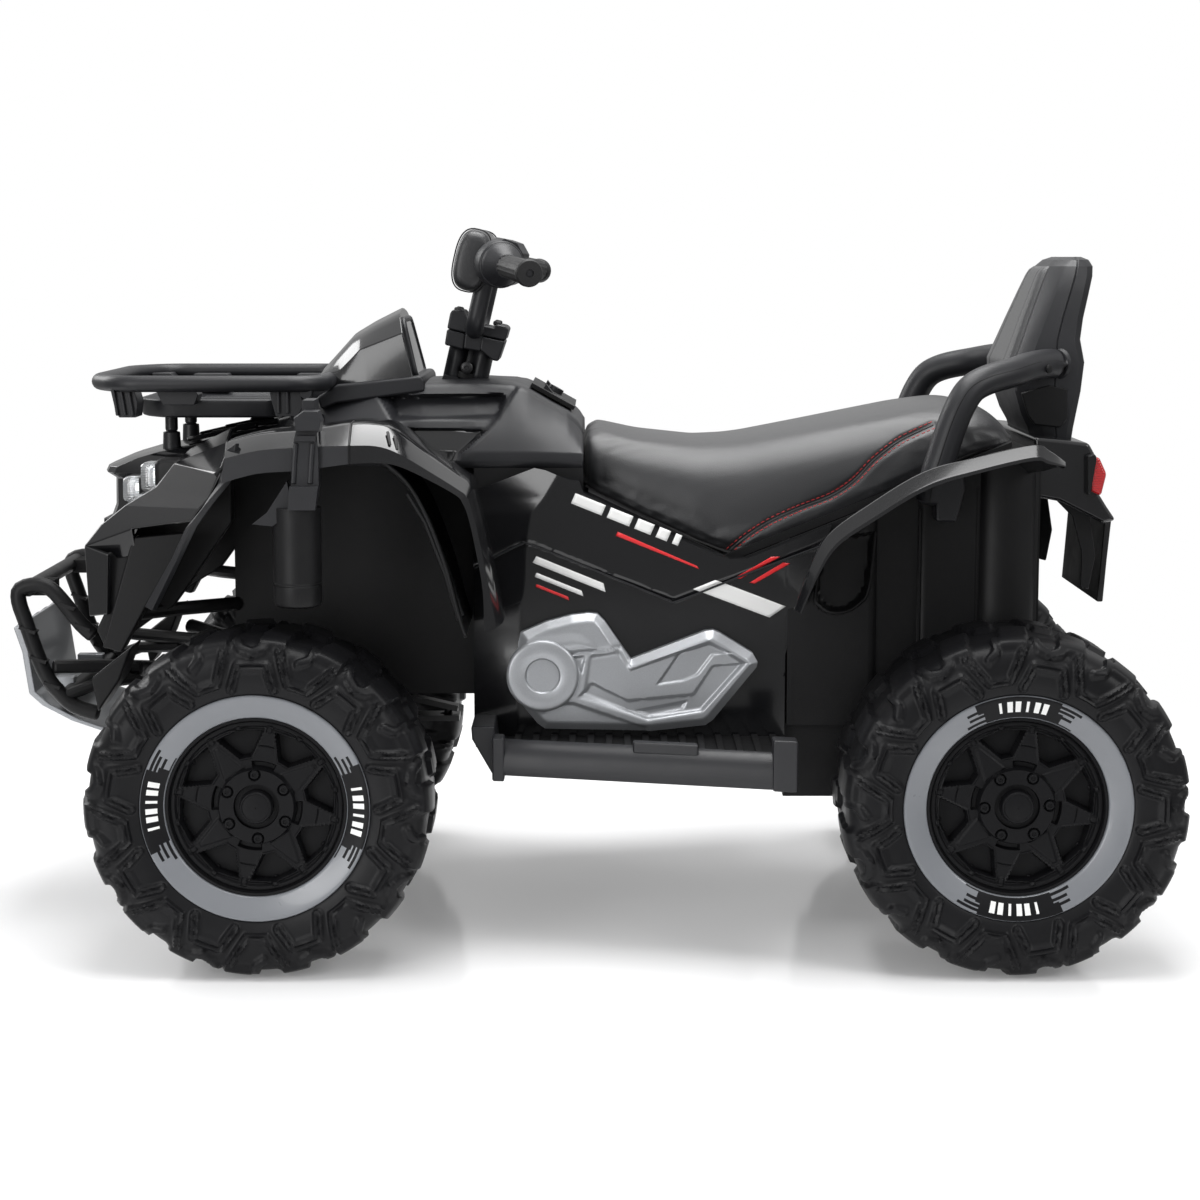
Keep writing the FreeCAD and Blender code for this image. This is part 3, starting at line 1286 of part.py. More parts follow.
# Backrest and the two armrests
def make_backrest(fender_line):
    shell = new_body("backrest_shell")
    low_x = tub_rear_x - d.back_length * 0.14
    shares = [(0.14, 0.00), (0.77, 0.00), (0.86, 0.42), (0.79, 0.56), (1.00, 0.83), (0.97, 0.96),
              (0.68, 1.00), (0.42, 0.91), (0.00, 0.47), (0.21, 0.17)]
    outline = within(shares, low_x, rear_top_z, d.back_length, d.back_height)
    slab(shell, "XZ_Plane", outline, d.back_half * 2, symmetric=True)
    keep("backrest_shell", shell)
    pad = new_body("backrest_pad")
    face = [outline[7], outline[8]]
    thick = d.back_pad_thickness
    slab(pad, "XZ_Plane", face + [
        (face[1][0] - thick, face[1][1] + thick * 0.35), (face[0][0] - thick, face[0][1] + thick * 0.1)],
        d.back_pad_half * 2, symmetric=True)
    keep("backrest_pad", pad)

    arm = new_body("armrest")
    post_x = rear_x - d.armrest_post_x
    half_w = d.armrest_width / 2
    elbow_z = axle_z + d.armrest_elbow
    end_z = axle_z + d.armrest_end
    low, high = fender_line[5], fender_line[6]
    slope = (high[1] - low[1]) / (high[0] - low[0])
    foot = [(x, low[1] + (x - low[0]) * slope + d.part_line) for x in (post_x - half_w, post_x + half_w)]
    post = foot + [
        (post_x + half_w * 3, elbow_z - d.armrest_height / 2), (post_x + half_w * 3, elbow_z),
        (post_x + half_w * 2, elbow_z), (post_x + half_w * 0.4, elbow_z - d.armrest_height * 0.7)]
    slab(arm, "XZ_Plane", post, d.armrest_width, offset=d.armrest_y - half_w)
    end_x = low_x + d.back_length * 0.85
    start_x = post_x + half_w * 2
    loft(arm, "YZ_Plane", [
        (start_x, rectangle(-d.armrest_y - half_w, elbow_z - d.armrest_height / 2,
                            -d.armrest_y + half_w, elbow_z + d.armrest_height / 2)),
        (start_x + d.armrest_width, rectangle(
            -d.armrest_y - half_w, elbow_z - d.armrest_height / 2 + 1,
            -d.armrest_y + half_w, elbow_z + d.armrest_height / 2 + 1)),
        (end_x, rectangle(-d.back_half - d.armrest_width, end_z - d.armrest_height / 2,
                          -d.back_half, end_z + d.armrest_height / 2))])
    keep_pair("armrests", trimmed("armrest_bar", arm, [shell]))


# Drive and power inside the tub
def make_drive():
    axle = new_body("rear_axle")
    disc(axle, "XZ_Plane", (rear_x, axle_z), d.axle_radius,
         (d.track / 2 + d.axle_end_inset) * 2, symmetric=True)
    keep("rear_axle", axle)
    gearbox = new_body("gearbox")
    outer = kingpin_y + d.beam_end + d.web_thickness + 1
    half = d.gearbox_height / 2
    low_x = rear_x - d.gearbox_length * 0.6
    shares = [(0.00, 0.20), (0.15, 0.00), (0.80, 0.00), (1.00, 0.30),
              (1.00, 0.70), (0.80, 1.00), (0.15, 1.00), (0.00, 0.80)]
    slab(gearbox, "XZ_Plane", within(shares, low_x, axle_z - half, d.gearbox_length, d.gearbox_height),
         outer - rear_half, offset=rear_half)
    disc(gearbox, "XZ_Plane", (rear_x, axle_z), d.axle_radius + d.running, outer * 3,
         kind="Pocket", symmetric=True)
    keep_pair("gearboxes", gearbox)
    motor = new_body("motor")
    disc(motor, "XZ_Plane", (rear_x - d.motor_x, axle_z + d.motor_z), d.motor_radius, d.motor_length,
         offset=rear_half - d.motor_length)
    keep_pair("motors", motor)
    battery = new_body("battery")
    centre_x = (mid_start_x + mid_end_x) / 2
    base_z = floor_z + d.wall
    half_l = d.battery_length / 2
    slab(battery, "XZ_Plane", rectangle(centre_x - half_l, base_z, centre_x + half_l,
                                        base_z + d.battery_height), d.battery_width, symmetric=True)
    keep("battery", battery)
    box = new_body("control_box")
    box_x = centre_x - half_l - d.wall
    slab(box, "XZ_Plane", rectangle(box_x - d.box_length, base_z, box_x, base_z + d.box_height),
         d.box_width, symmetric=True)
    keep("control_box", box)


# Accelerator: a heel-hinged plate between two ears on the right footboard
def make_pedal(board):
    base_z = floor_z + d.step_thickness
    pivot_x = front_x + d.pedal_x
    pivot_z = base_z + d.pedal_ear_height - d.pedal_ear / 2
    root = d.tub_mid_half + d.panel_thickness
    centre_y = root + d.cover_depth + d.cover_disc_height + d.pedal_y
    gap = d.pedal_width / 2 + d.side_play
    ears = new_body("pedal_ears")
    for low_y in (centre_y - gap - d.pedal_ear, centre_y + gap):
        slab(ears, "XZ_Plane", rectangle(pivot_x - d.pedal_ear, base_z - d.wall, pivot_x + d.pedal_ear,
                                         base_z + d.pedal_ear_height),
             d.pedal_ear, offset=-low_y - d.pedal_ear)
        ears.AllowCompound = True
    disc(ears, "XZ_Plane", (pivot_x, pivot_z), d.pedal_hinge_radius + d.running, centre_y * 3,
         kind="Pocket", symmetric=True)
    eared = doc.addObject("Part::Fuse", "eared_board")
    eared.Base = mirrored(board)
    eared.Tool = ears
    keep("footboards", group("footboards", [board, eared]))

    pedal = new_body("accelerator_pedal")
    sketch = new_sketch(pedal, "XZ_Plane", -d.pedal_width / 2)
    draw_polygon(sketch, within([(0.08, -0.5), (0.08, 0.5), (-1.0, 0.5), (-1.0, -0.5)],
                                as_size(0), as_size(0), d.pedal_length, d.pedal_thickness))
    extrude(pedal, sketch, d.pedal_width)
    disc(pedal, "XZ_Plane", (0, 0), d.pedal_hinge_radius, (gap + d.pedal_ear) * 2, symmetric=True)
    pedal.Placement = FreeCAD.Placement(
        FreeCAD.Vector(0, 0, 0), FreeCAD.Rotation(FreeCAD.Vector(0, 1, 0), d.pedal_angle.number))
    bind(pedal, "Placement.Base.x", pivot_x)
    bind(pedal, "Placement.Base.y", centre_y)
    bind(pedal, "Placement.Base.z", pivot_z)
    bind(pedal, "Placement.Rotation.Angle", d.pedal_angle)
    keep("accelerator_pedal", pedal)


tub_envelope = make_tub_envelope()
cowl_envelope, cowl_hollow = make_cowl_bodies()
bush_hole = column_tool("bush_hole", bush_radius + d.running)
keep("chassis_tub", trimmed("chassis_tub", tub_envelope, [make_tub_hollow(), bush_hole]))
upper_cowl = keep("upper_cowl", trimmed("upper_cowl", cowl_envelope, [cowl_hollow, bush_hole]))
make_wheels()
make_front_axle()
make_steering(upper_cowl)
dash_cowl = make_dash(cowl_envelope)
make_controls()
make_seat()
side_panel, left_board = make_sides()
nose_cowl = make_front(tub_envelope, cowl_envelope, side_panel)
keep("front_rack", trimmed("front_rack", make_rack(), [nose_cowl, cowl_envelope, dash_cowl]))
make_bumper()
make_backrest(make_rear(side_panel))
make_drive()
make_pedal(left_board)

doc.recompute()
failed = [item.Label for item in doc.Objects if {"Invalid", "Error"} & set(item.State)]
broken = [label for label, item in nodes.items() if item.Shape.isNull() or not item.Shape.isValid()]
if failed or broken:
    raise SystemExit(f"failed objects: {failed}, broken shapes: {broken}")
os.makedirs("parts", exist_ok=True)
for label, item in nodes.items():
    item.Shape.exportStep(f"parts/{label}.step")
    print(label, len(item.Shape.Solids), round(item.Shape.Volume / 1000, 1))
print("nodes", len(nodes))
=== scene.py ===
import bpy
import bmesh
import math
from mathutils import Vector, Matrix
from mathutils.bvhtree import BVHTree


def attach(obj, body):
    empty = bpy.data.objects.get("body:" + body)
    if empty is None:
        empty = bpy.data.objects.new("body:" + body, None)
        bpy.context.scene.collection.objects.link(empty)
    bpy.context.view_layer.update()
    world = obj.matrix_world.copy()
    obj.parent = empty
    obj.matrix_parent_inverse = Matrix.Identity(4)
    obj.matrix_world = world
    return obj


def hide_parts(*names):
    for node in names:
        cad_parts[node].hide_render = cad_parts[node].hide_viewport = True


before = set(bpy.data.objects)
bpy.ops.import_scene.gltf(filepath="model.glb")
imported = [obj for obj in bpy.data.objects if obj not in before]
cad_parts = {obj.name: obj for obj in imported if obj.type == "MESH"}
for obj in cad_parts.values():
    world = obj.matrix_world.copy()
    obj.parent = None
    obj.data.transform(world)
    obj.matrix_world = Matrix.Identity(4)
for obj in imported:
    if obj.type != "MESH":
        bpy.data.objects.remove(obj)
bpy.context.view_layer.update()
mm = 0.001
print("frame loaded:", len(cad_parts), "nodes")


# Finishes
class Wire:  # a shader socket that takes part in plain arithmetic
    def __init__(self, tree, socket=None):
        self.tree, self.socket = tree, socket

    def node(self, kind, settings={}, sockets={}, out=0):
        made = self.tree.nodes.new("ShaderNode" + kind)
        for name, value in settings.items():
            if name == "stops":
                fillRamp(made.color_ramp, value)
            else:
                setattr(made, name, value)
        for name, value in sockets.items():
            if isinstance(value, Wire):
                self.tree.links.new(value.socket, made.inputs[name])
            else:
                made.inputs[name].default_value = value
        return Wire(self.tree, made.outputs[out] if made.outputs else None)

    def calc(self, operation, first, second):
        return self.node("Math", {"operation": operation}, {0: first, 1: second})

    def __add__(self, other):
        return self.calc("ADD", self, other)

    def __radd__(self, other):
        return self.calc("ADD", other, self)

    def __sub__(self, other):
        return self.calc("SUBTRACT", self, other)

    def __rsub__(self, other):
        return self.calc("SUBTRACT", other, self)

    def __mul__(self, other):
        return self.calc("MULTIPLY", self, other)

    def __rmul__(self, other):
        return self.calc("MULTIPLY", other, self)


def fillRamp(ramp, stops):
    while len(ramp.elements) > 1:
        ramp.elements.remove(ramp.elements[-1])
    for index, (place, colour) in enumerate(stops):
        stop = ramp.elements[0] if index == 0 else ramp.elements.new(place)
        stop.position = place
        stop.color = (*colour, 1) if len(colour) == 3 else colour


def startFinish(name):
    made = bpy.data.materials.new(name)
    made.use_nodes = True
    made.node_tree.nodes.clear()
    wire = Wire(made.node_tree)
    return made, wire, wire.node("TexCoord", out=3)


def endFinish(made, shader):
    shader.node("OutputMaterial", {}, {"Surface": shader})
    return made


def blendColour(wire, share, first, second):
    return wire.node("Mix", {"data_type": "RGBA"}, {0: share, 6: (*first, 1), 7: (*second, 1)}, out=2)


def noiseOf(wire, place, scale, detail, **more):
    return wire.node("TexNoise", {}, {"Vector": place, "Scale": scale, "Detail": detail, **more})


def bumpOf(wire, strength, distance, height):
    return wire.node("Bump", {}, {"Strength": strength, "Distance": distance, "Height": height})


def rangeOf(wire, value, fromLow, fromHigh, toLow, toHigh):
    return wire.node("MapRange", {}, {"Value": value, 1: fromLow, 2: fromHigh, 3: toLow, 4: toHigh})


def shade(tint, share):
    return tuple(min(1, c * share) for c in tint)


def mouldedPlastic(name, tint, rough, grain, depth, coat=0.0, shine=0.5, patchy=0.25):
    # moulded plastic: a little cloudy in colour and gloss, with a fine pebble in the surface
    made, wire, place = startFinish(name)
    cloud = noiseOf(wire, place, 7.0, 4.0, Roughness=0.6)
    pebble = noiseOf(wire, place, grain, 2.0)
    smear = noiseOf(wire, place, 38.0, 3.0, Distortion=1.2)
    bump = bumpOf(wire, depth, 0.0006, pebble)
    shader = wire.node("BsdfPrincipled", {}, {
        "Base Color": blendColour(wire, cloud, shade(tint, 1 - patchy), shade(tint, 1 + patchy)),
        "Roughness": (cloud - 0.5) * (rough * 0.3) + (smear - 0.5) * (rough * 0.35) + rough,
        "Specular IOR Level": shine, "Coat Weight": coat, "Coat Roughness": 0.06, "Normal": bump})
    return endFinish(made, shader)


def leatherCloth(name, tint, rough):
    # stretched leathercloth: small irregular cells, softer creases between them
    made, wire, place = startFinish(name)
    wander = wire.node("TexNoise", {}, {"Vector": place, "Scale": 60.0, "Detail": 2.0}, out=1)
    bent = wire.node("VectorMath", {"operation": "MULTIPLY_ADD"}, {0: wander, 1: (0.004,) * 3, 2: place})
    cells = wire.node("TexVoronoi", {"feature": "DISTANCE_TO_EDGE"}, {"Vector": bent, "Scale": 620.0})
    folds = noiseOf(wire, place, 26.0, 3.0)
    cloud = noiseOf(wire, place, 6.0, 4.0)
    grain = rangeOf(wire, cells, 0.0, 0.18, 0.0, 1.0)
    bump = bumpOf(wire, 0.16, 0.0008, grain * 0.6 + folds * 0.9)
    shader = wire.node("BsdfPrincipled", {}, {
        "Base Color": blendColour(wire, cloud, shade(tint, 0.75), shade(tint, 1.3)),
        "Roughness": rough + (cloud - 0.5) * 0.16 - grain * 0.05,
        "Sheen Weight": 0.1, "Normal": bump})
    return endFinish(made, shader)


def tyreRubber(name, tint):
    # dull rubber-like plastic, a little dusty in uneven patches
    made, wire, place = startFinish(name)
    cloud = noiseOf(wire, place, 14.0, 5.0, Roughness=0.65)
    pebble = noiseOf(wire, place, 900.0, 2.0)
    bump = bumpOf(wire, 0.12, 0.0006, pebble)
    shader = wire.node("BsdfPrincipled", {}, {
        "Base Color": blendColour(wire, cloud, shade(tint, 0.7), shade(tint, 1.35)),
        "Roughness": 0.33 + cloud * 0.14, "Specular IOR Level": 0.16, "Normal": bump})
    return endFinish(made, shader)


def metallicPaint(name, tint, rough):
    # silver paint with a fine flake under a thin clear coat
    made, wire, place = startFinish(name)
    flake = wire.node("TexVoronoi", {}, {"Vector": place, "Scale": 2400.0}, out=1)
    sparkle = wire.node("SeparateColor", {}, {"Color": flake})
    cloud = noiseOf(wire, place, 9.0, 3.0)
    peel = noiseOf(wire, place, 320.0, 1.0)
    bump = bumpOf(wire, 0.06, 0.0005, peel + sparkle * 0.4)
    shader = wire.node("BsdfPrincipled", {}, {
        "Base Color": blendColour(wire, sparkle * 0.5 + cloud * 0.5, shade(tint, 0.86), shade(tint, 1.12)),
        "Metallic": 0.55, "Roughness": rough + (cloud - 0.5) * 0.12, "Coat Weight": 0.25,
        "Coat Roughness": 0.12, "Normal": bump})
    return endFinish(made, shader)


def steelFinish(name, tint, rough, metal):
    # steel with fine drawn lines
    made, wire, place = startFinish(name)
    drawn = wire.node("Mapping", {}, {"Vector": place, "Scale": (40.0, 900.0, 900.0)})
    lines = noiseOf(wire, drawn, 1.0, 3.0)
    cloud = noiseOf(wire, place, 20.0, 4.0)
    bump = bumpOf(wire, 0.08, 0.0003, lines)
    shader = wire.node("BsdfPrincipled", {}, {
        "Base Color": blendColour(wire, cloud, shade(tint, 0.8), shade(tint, 1.15)), "Metallic": metal,
        "Roughness": rough + (lines - 0.5) * 0.14, "Normal": bump})
    return endFinish(made, shader)


def lensPlastic(name, tint, rough, clear):
    # lens plastic with a ribbed back that catches the light; the same rib bands are also painted darker and
    # lighter into its colour, a painted shade and highlight along the ribs
    made, wire, place = startFinish(name)
    ribs = wire.node("TexWave", {"bands_direction": "Z"},
                     {"Vector": place, "Scale": 130.0, "Distortion": 0.0})
    cloud = noiseOf(wire, place, 30.0, 2.0)
    bump = bumpOf(wire, 0.25, 0.001, ribs)
    shader = wire.node("BsdfPrincipled", {}, {
        "Base Color": blendColour(wire, ribs * 0.6 + cloud * 0.4, shade(tint, 0.7), tint),
        "Roughness": rough + cloud * 0.08, "Transmission Weight": clear, "IOR": 1.49,
        "Coat Weight": 0.6, "Coat Roughness": 0.03, "Normal": bump})
    return endFinish(made, shader)


finishes = {
    "gloss": mouldedPlastic("glossBlackPlastic", (0.0055, 0.0056, 0.0064), 0.15, 260.0, 0.03, coat=0.25,
                            shine=0.45),
    "satin": mouldedPlastic("satinCharcoalPlastic", (0.0125, 0.0128, 0.0148), 0.42, 1100.0, 0.16,
                            shine=0.34),
    "matte": mouldedPlastic("matteBlackPlastic", (0.006, 0.006, 0.0065), 0.46, 900.0, 0.2, shine=0.22),
    "rim": mouldedPlastic("rimBlackPlastic", (0.005, 0.005, 0.0057), 0.42, 900.0, 0.14, shine=0.13),
    "tyre": tyreRubber("tyreBlack", (0.0058, 0.0058, 0.0066)),
    "ring": mouldedPlastic("ringGreyPaint", (0.158, 0.166, 0.18), 0.3, 500.0, 0.04, coat=0.25, patchy=0.06),
    "ringDark": mouldedPlastic("ringBlackPrint", (0.006, 0.006, 0.0068), 0.4, 500.0, 0.04, patchy=0.1,
                               shine=0.14),
    "white": mouldedPlastic("whitePrint", (0.78, 0.78, 0.77), 0.34, 500.0, 0.03, patchy=0.04),
    "red": mouldedPlastic("redPrint", (0.62, 0.012, 0.016), 0.34, 500.0, 0.03, patchy=0.08),
    "silver": metallicPaint("coverSilver", (0.335, 0.345, 0.362), 0.38),
    "skid": metallicPaint("skidGrey", (0.3, 0.31, 0.325), 0.4),
    "leather": leatherCloth("seatLeather", (0.0128, 0.0131, 0.0146), 0.42),
    "thread": leatherCloth("redThread", (0.42, 0.012, 0.014), 0.6),
    "blackSteel": steelFinish("blackSteel", (0.012, 0.012, 0.013), 0.36, 0.0),
    "bareSteel": steelFinish("platedSteel", (0.55, 0.55, 0.56), 0.3, 1.0),
    "rubber": mouldedPlastic("gripRubber", (0.009, 0.009, 0.0095), 0.55, 700.0, 0.25, shine=0.35),
    "clear": lensPlastic("clearLens", (0.93, 0.95, 0.97), 0.05, 0.75),
    "mirror": steelFinish("lampReflector", (0.8, 0.81, 0.82), 0.12, 1.0),
    "redLens": lensPlastic("redLens", (0.6, 0.012, 0.016), 0.08, 0.2),
    "smoke": mouldedPlastic("smokedScreen", (0.02, 0.022, 0.026), 0.1, 200.0, 0.02, coat=0.8),
}
nodeFinishes = {
    "satin": "upper_cowl dash_cowl column_cover bar_clamp switch_housings front_rack backrest_shell "
             "armrests direction_rocker speed_rocker power_button",
    "matte": "chassis_tub footboards step_rails front_guards canisters mud_flap battery control_box "
             "gearboxes motors seat_pan accelerator_pedal control_plate column_bushes",
    "gloss": "nose_cowl front_fenders rear_fenders side_panels tail_panel",
    "blackSteel": "front_bumper front_axle_beam steering_knuckle_left steering_knuckle_right steering_link "
                  "handlebar steering_shaft",
    "bareSteel": "clamp_bolts rear_axle", "silver": "engine_covers", "skid": "skid_plate",
    "leather": "seat_cushion backrest_pad bar_pad", "rubber": "grips", "clear": "headlights",
    "redLens": "tail_lamps", "smoke": "dash_screen",
}
for kind, names in nodeFinishes.items():
    for name in names.split():
        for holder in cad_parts[name].material_slots:
            holder.material = finishes[kind]
print("finishes made:", len(finishes))


def addPiece(name, part, finish, node=None, body="chassis", slot=None, marks=None, place=None, **look):
    # one finished piece that rides a body; it may stand in for a node
    mesh = bpy.data.meshes.new(name)
    mesh.from_pydata([Vector(v) * mm for v in part[0]], [], part[1])
    work = bmesh.new()
    work.from_mesh(mesh)
    bmesh.ops.remove_doubles(work, verts=work.verts, dist=1e-6)
    bmesh.ops.recalc_face_normals(work, faces=work.faces)
    work.to_mesh(mesh)
    work.free()
    kinds = [finish] if isinstance(finish, str) else finish
    for kind in kinds:
        mesh.materials.append(finishes[kind])
    piece = bpy.data.objects.new(name, mesh)
    bpy.context.scene.collection.objects.link(piece)
    if marks:  # finish index of each face, from its centre
        for face in mesh.polygons:
            face.material_index = marks(face.center / mm)
    dress(piece, **look)
    if place:
        piece.matrix_world = place
    if node:
        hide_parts(node)
    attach(piece, body)
    return piece


def dress(piece, bevel=0.0, steps=2, subdivide=0, mirror=False, skin=0.0, sharp=35.0):
    mesh = piece.data
    mesh.polygons.foreach_set("use_smooth", [True] * len(mesh.polygons))
    mesh.set_sharp_from_angle(angle=math.radians(sharp))
    if mirror:
        flip = piece.modifiers.new("bothSides", "MIRROR")
        flip.use_axis = (False, True, False)
        flip.use_mirror_merge = False
    if skin:
        wall = piece.modifiers.new("wall", "SOLIDIFY")
        wall.thickness = skin * mm
        wall.offset = -1
        wall.use_even_offset = True
    if bevel:
        edging = piece.modifiers.new("edges", "BEVEL")
        edging.width = bevel * mm
        edging.segments = steps
        edging.limit_method = "ANGLE"
        edging.angle_limit = math.radians(28)
        edging.use_clamp_overlap = True
        edging.harden_normals = True
    if subdivide:
        finer = piece.modifiers.new("finer", "SUBSURF")
        finer.levels = subdivide
        finer.render_levels = subdivide


def puffed(verts, faces, voxel, push, cap, frames, resting):
    # swells a closed pad as foam does under a stretched cover; what rests on something stays
    scene = bpy.context.scene

    def settled():
        return bpy.data.meshes.new_from_object(blank.evaluated_get(bpy.context.evaluated_depsgraph_get()))
    mesh = bpy.data.meshes.new("padBlank")
    mesh.from_pydata([Vector(v) * mm for v in verts], [], faces)
    blank = bpy.data.objects.new("padBlank", mesh)
    scene.collection.objects.link(blank)
    grid = blank.modifiers.new("grid", "REMESH")
    grid.mode = "VOXEL"
    grid.voxel_size = voxel * mm
    even = blank.modifiers.new("even", "SMOOTH")
    even.iterations = 8
    blank.data = settled()
    blank.modifiers.clear()
    inset = cap * 0.8 * mm
    start = [v.co - v.normal * (0.0 if resting(v.co / mm) else inset) for v in blank.data.vertices]
    for vertex, spot in zip(blank.data.vertices, start):
        vertex.co = spot
    held = blank.vertex_groups.new(name="held")
    held.add([k for k, spot in enumerate(start) if resting(spot / mm)], 1.0, "REPLACE")
    cloth = blank.modifiers.new("cloth", "CLOTH")
    cloth.settings.use_pressure = True
    cloth.settings.uniform_pressure_force = push
    cloth.settings.vertex_group_mass = "held"
    cloth.settings.effector_weights.gravity = 0
    cloth.point_cache.frame_start = 1
    cloth.point_cache.frame_end = frames
    for number in range(1, frames + 1):
        scene.frame_set(number)
    swollen = settled()
    blank.modifiers.clear()
    farthest = 0.0
    for before, after, kept in zip(start, swollen.vertices, blank.data.vertices):
        move = after.co - before
        farthest = max(farthest, move.length / mm)
        kept.co = before + move * min(1.0, cap * mm / max(move.length, 1e-9))
    finer = blank.modifiers.new("finer", "SUBSURF")
    finer.levels = 1
    final = settled()
    scene.frame_set(1)
    bpy.data.objects.remove(blank)
    print("pad swollen:", len(final.vertices), "points, farthest", round(farthest, 1), "mm")
    return [v.co / mm for v in final.vertices], [tuple(p.vertices) for p in final.polygons]


def joinParts(parts):
    verts, faces = [], []
    for partVerts, partFaces in parts:
        start = len(verts)
        verts += list(partVerts)
        faces += [tuple(i + start for i in face) for face in partFaces]
    return verts, faces


def bothWays(row):
    # a row of points carried on over the centre plane, towards +Y
    return row + [(x, -y, z) for x, y, z in row[-2::-1]]


def moveParts(part, matrix):
    return [matrix @ Vector(v) for v in part[0]], part[1]


def turned(profile, steps):
    # a radius and width outline turned about Y
    verts, faces = [], []
    count = len(profile)
    for step in range(steps):
        angle = math.tau * step / steps
        verts += [(r * math.sin(angle), y, r * math.cos(angle)) for r, y in profile]
    for step in range(steps):
        here, there = step * count, (step + 1) % steps * count
        for i in range(count):
            j = (i + 1) % count
            faces.append((here + i, here + j, there + j, there + i))
    return verts, faces


def prism(outline, low, high, draw=0.0):
    # an XZ outline given depth along Y; draw shrinks the far face towards its middle
    middle = (sum(p[0] for p in outline) / len(outline), sum(p[1] for p in outline) / len(outline))
    count = len(outline)
    verts = [(x, low, z) for x, z in outline]
    verts += [(x + (middle[0] - x) * draw, high, z + (middle[1] - z) * draw) for x, z in outline]
    faces = [tuple(range(count)), tuple(range(2 * count - 1, count - 1, -1))]
    faces += [(i, i + count, (i + 1) % count + count, (i + 1) % count) for i in range(count)]
    return verts, faces


def slabZ(outline, low, high):
    # an XY outline given height along Z
    count = len(outline)
    verts = [(x, y, low) for x, y in outline] + [(x, y, high) for x, y in outline]
    faces = [tuple(range(count))[::-1], tuple(range(count, 2 * count))]
    faces += [(i, (i + 1) % count, (i + 1) % count + count, i + count) for i in range(count)]
    return verts, faces


def block(low, high):
    (x0, y0, z0), (x1, y1, z1) = low, high
    return prism([(x0, z0), (x1, z0), (x1, z1), (x0, z1)], y0, y1)


def throughPoints(points, per):
    # a smooth line that passes through its points
    points = [Vector(p) for p in points]
    last = len(points) - 1
    line = []
    for i in range(last):
        a, b, c, e = (points[min(max(i + k, 0), last)] for k in (-1, 0, 1, 2))
        for step in range(per):
            t = step / per
            line.append(0.5 * (2 * b + (c - a) * t + (2 * a - 5 * b + 4 * c - e) * t * t
                               + (3 * b - a - 3 * c + e) * t ** 3))
    line.append(points[-1])
    return line


def roundCorners(points, radius, per, closed=False):
    # straight runs with each corner turned over an arc-like curve
    points = [Vector(p) for p in points]
    count = len(points)
    line = []
    for i, corner in enumerate(points):
        if not closed and i in (0, count - 1):
            line.append(corner)
            continue
        before, after = points[i - 1] - corner, points[(i + 1) % count] - corner
        reach = min(radius, before.length * 0.48, after.length * 0.48)
        start, end = corner + before.normalized() * reach, corner + after.normalized() * reach
        for step in range(per + 1):
            t = step / per
            line.append(start * (1 - t) ** 2 + corner * (2 * t * (1 - t)) + end * t * t)
    return line


def tube(path, radius, sides, closed=False, flat=1.0, up=(0, 0, 1)):
    # a swept round bar with softly closed ends; flat squashes it along the second cross direction
    path = [Vector(p) for p in path]
    radii = [radius] * len(path) if isinstance(radius, (int, float)) else list(radius)
    if not closed:
        ends = []
        for tip, inner, size in ((path[0], path[1], radii[0]), (path[-1], path[-2], radii[-1])):
            back = (inner - tip).normalized()
            ends.append([(tip + back * size * d, size * s)
                         for d, s in ((0.0, 0.55), (0.12, 0.85), (0.35, 1.0))])
        path = [p for p, _ in ends[0]] + path[1:-1] + [p for p, _ in ends[1][::-1]]
        radii = [s for _, s in ends[0]] + radii[1:-1] + [s for _, s in ends[1][::-1]]
    count = len(path)
    verts, faces = [], []
    side = None
    for i, point in enumerate(path):
        ahead = path[(i + 1) % count] if closed or i < count - 1 else point
        behind = path[i - 1] if closed or i > 0 else point
        along = (ahead - behind).normalized()
        if side is None:
            side = along.cross(Vector(up)).normalized()
        side = (side - along * side.dot(along)).normalized()
        other = along.cross(side)
        for k in range(sides):
            angle = math.tau * k / sides
            verts.append(point + (side * math.cos(angle) + other * math.sin(angle) * flat) * radii[i])
    for i in range(count if closed else count - 1):
        here, there = i * sides, (i + 1) % count * sides
        for k in range(sides):
            j = (k + 1) % sides
            faces.append((here + k, here + j, there + j, there + k))
    if not closed:
        faces.append(tuple(range(sides))[::-1])
        faces.append(tuple(range((count - 1) * sides, count * sides)))
    return verts, faces


def sheetOf(rows, closed=False):
    # a grid surface from rows of points
    wide = len(rows[0])
    verts = [p for row in rows for p in row]
    faces = []
    for i in range(len(rows) - 1):
        for j in range(wide if closed else wide - 1):
            k = (j + 1) % wide
            faces.append((i * wide + j, i * wide + k, (i + 1) * wide + k, (i + 1) * wide + j))
    return verts, faces


def lofted(rings):
    # closed rings joined into one solid, with both ends filled
    verts, faces = sheetOf(rings, closed=True)
    wide = len(rings[0])
    faces.append(tuple(range(wide))[::-1])
    faces.append(tuple(range((len(rings) - 1) * wide, len(rings) * wide)))
    return verts, faces


def ramp(value, width):
    return max(0.0, min(1.0, value / width))


def lineAt(points, x):
    # height of an open outline at x
    for (x0, z0), (x1, z1) in zip(points, points[1:]):
        if x <= x1:
            return z0 + (z1 - z0) * ramp(x - x0, max(x1 - x0, 1e-6))
    return points[-1][1]


def stationAt(stations, x):
    # the rows on both sides of x, blended
    for a, b in zip(stations, stations[1:]):
        if x <= b[0]:
            t = (x - a[0]) / (b[0] - a[0])
            return [p + (q - p) * t for p, q in zip(a, b)]
    return list(stations[-1])


def segmentGap(x0, z0, x1, z1, x, z):
    # distance to one straight run
    dx, dz = x1 - x0, z1 - z0
    t = ramp((x - x0) * dx + (z - z0) * dz, max(dx * dx + dz * dz, 1e-9))
    return math.hypot(x - x0 - t * dx, z - z0 - t * dz)


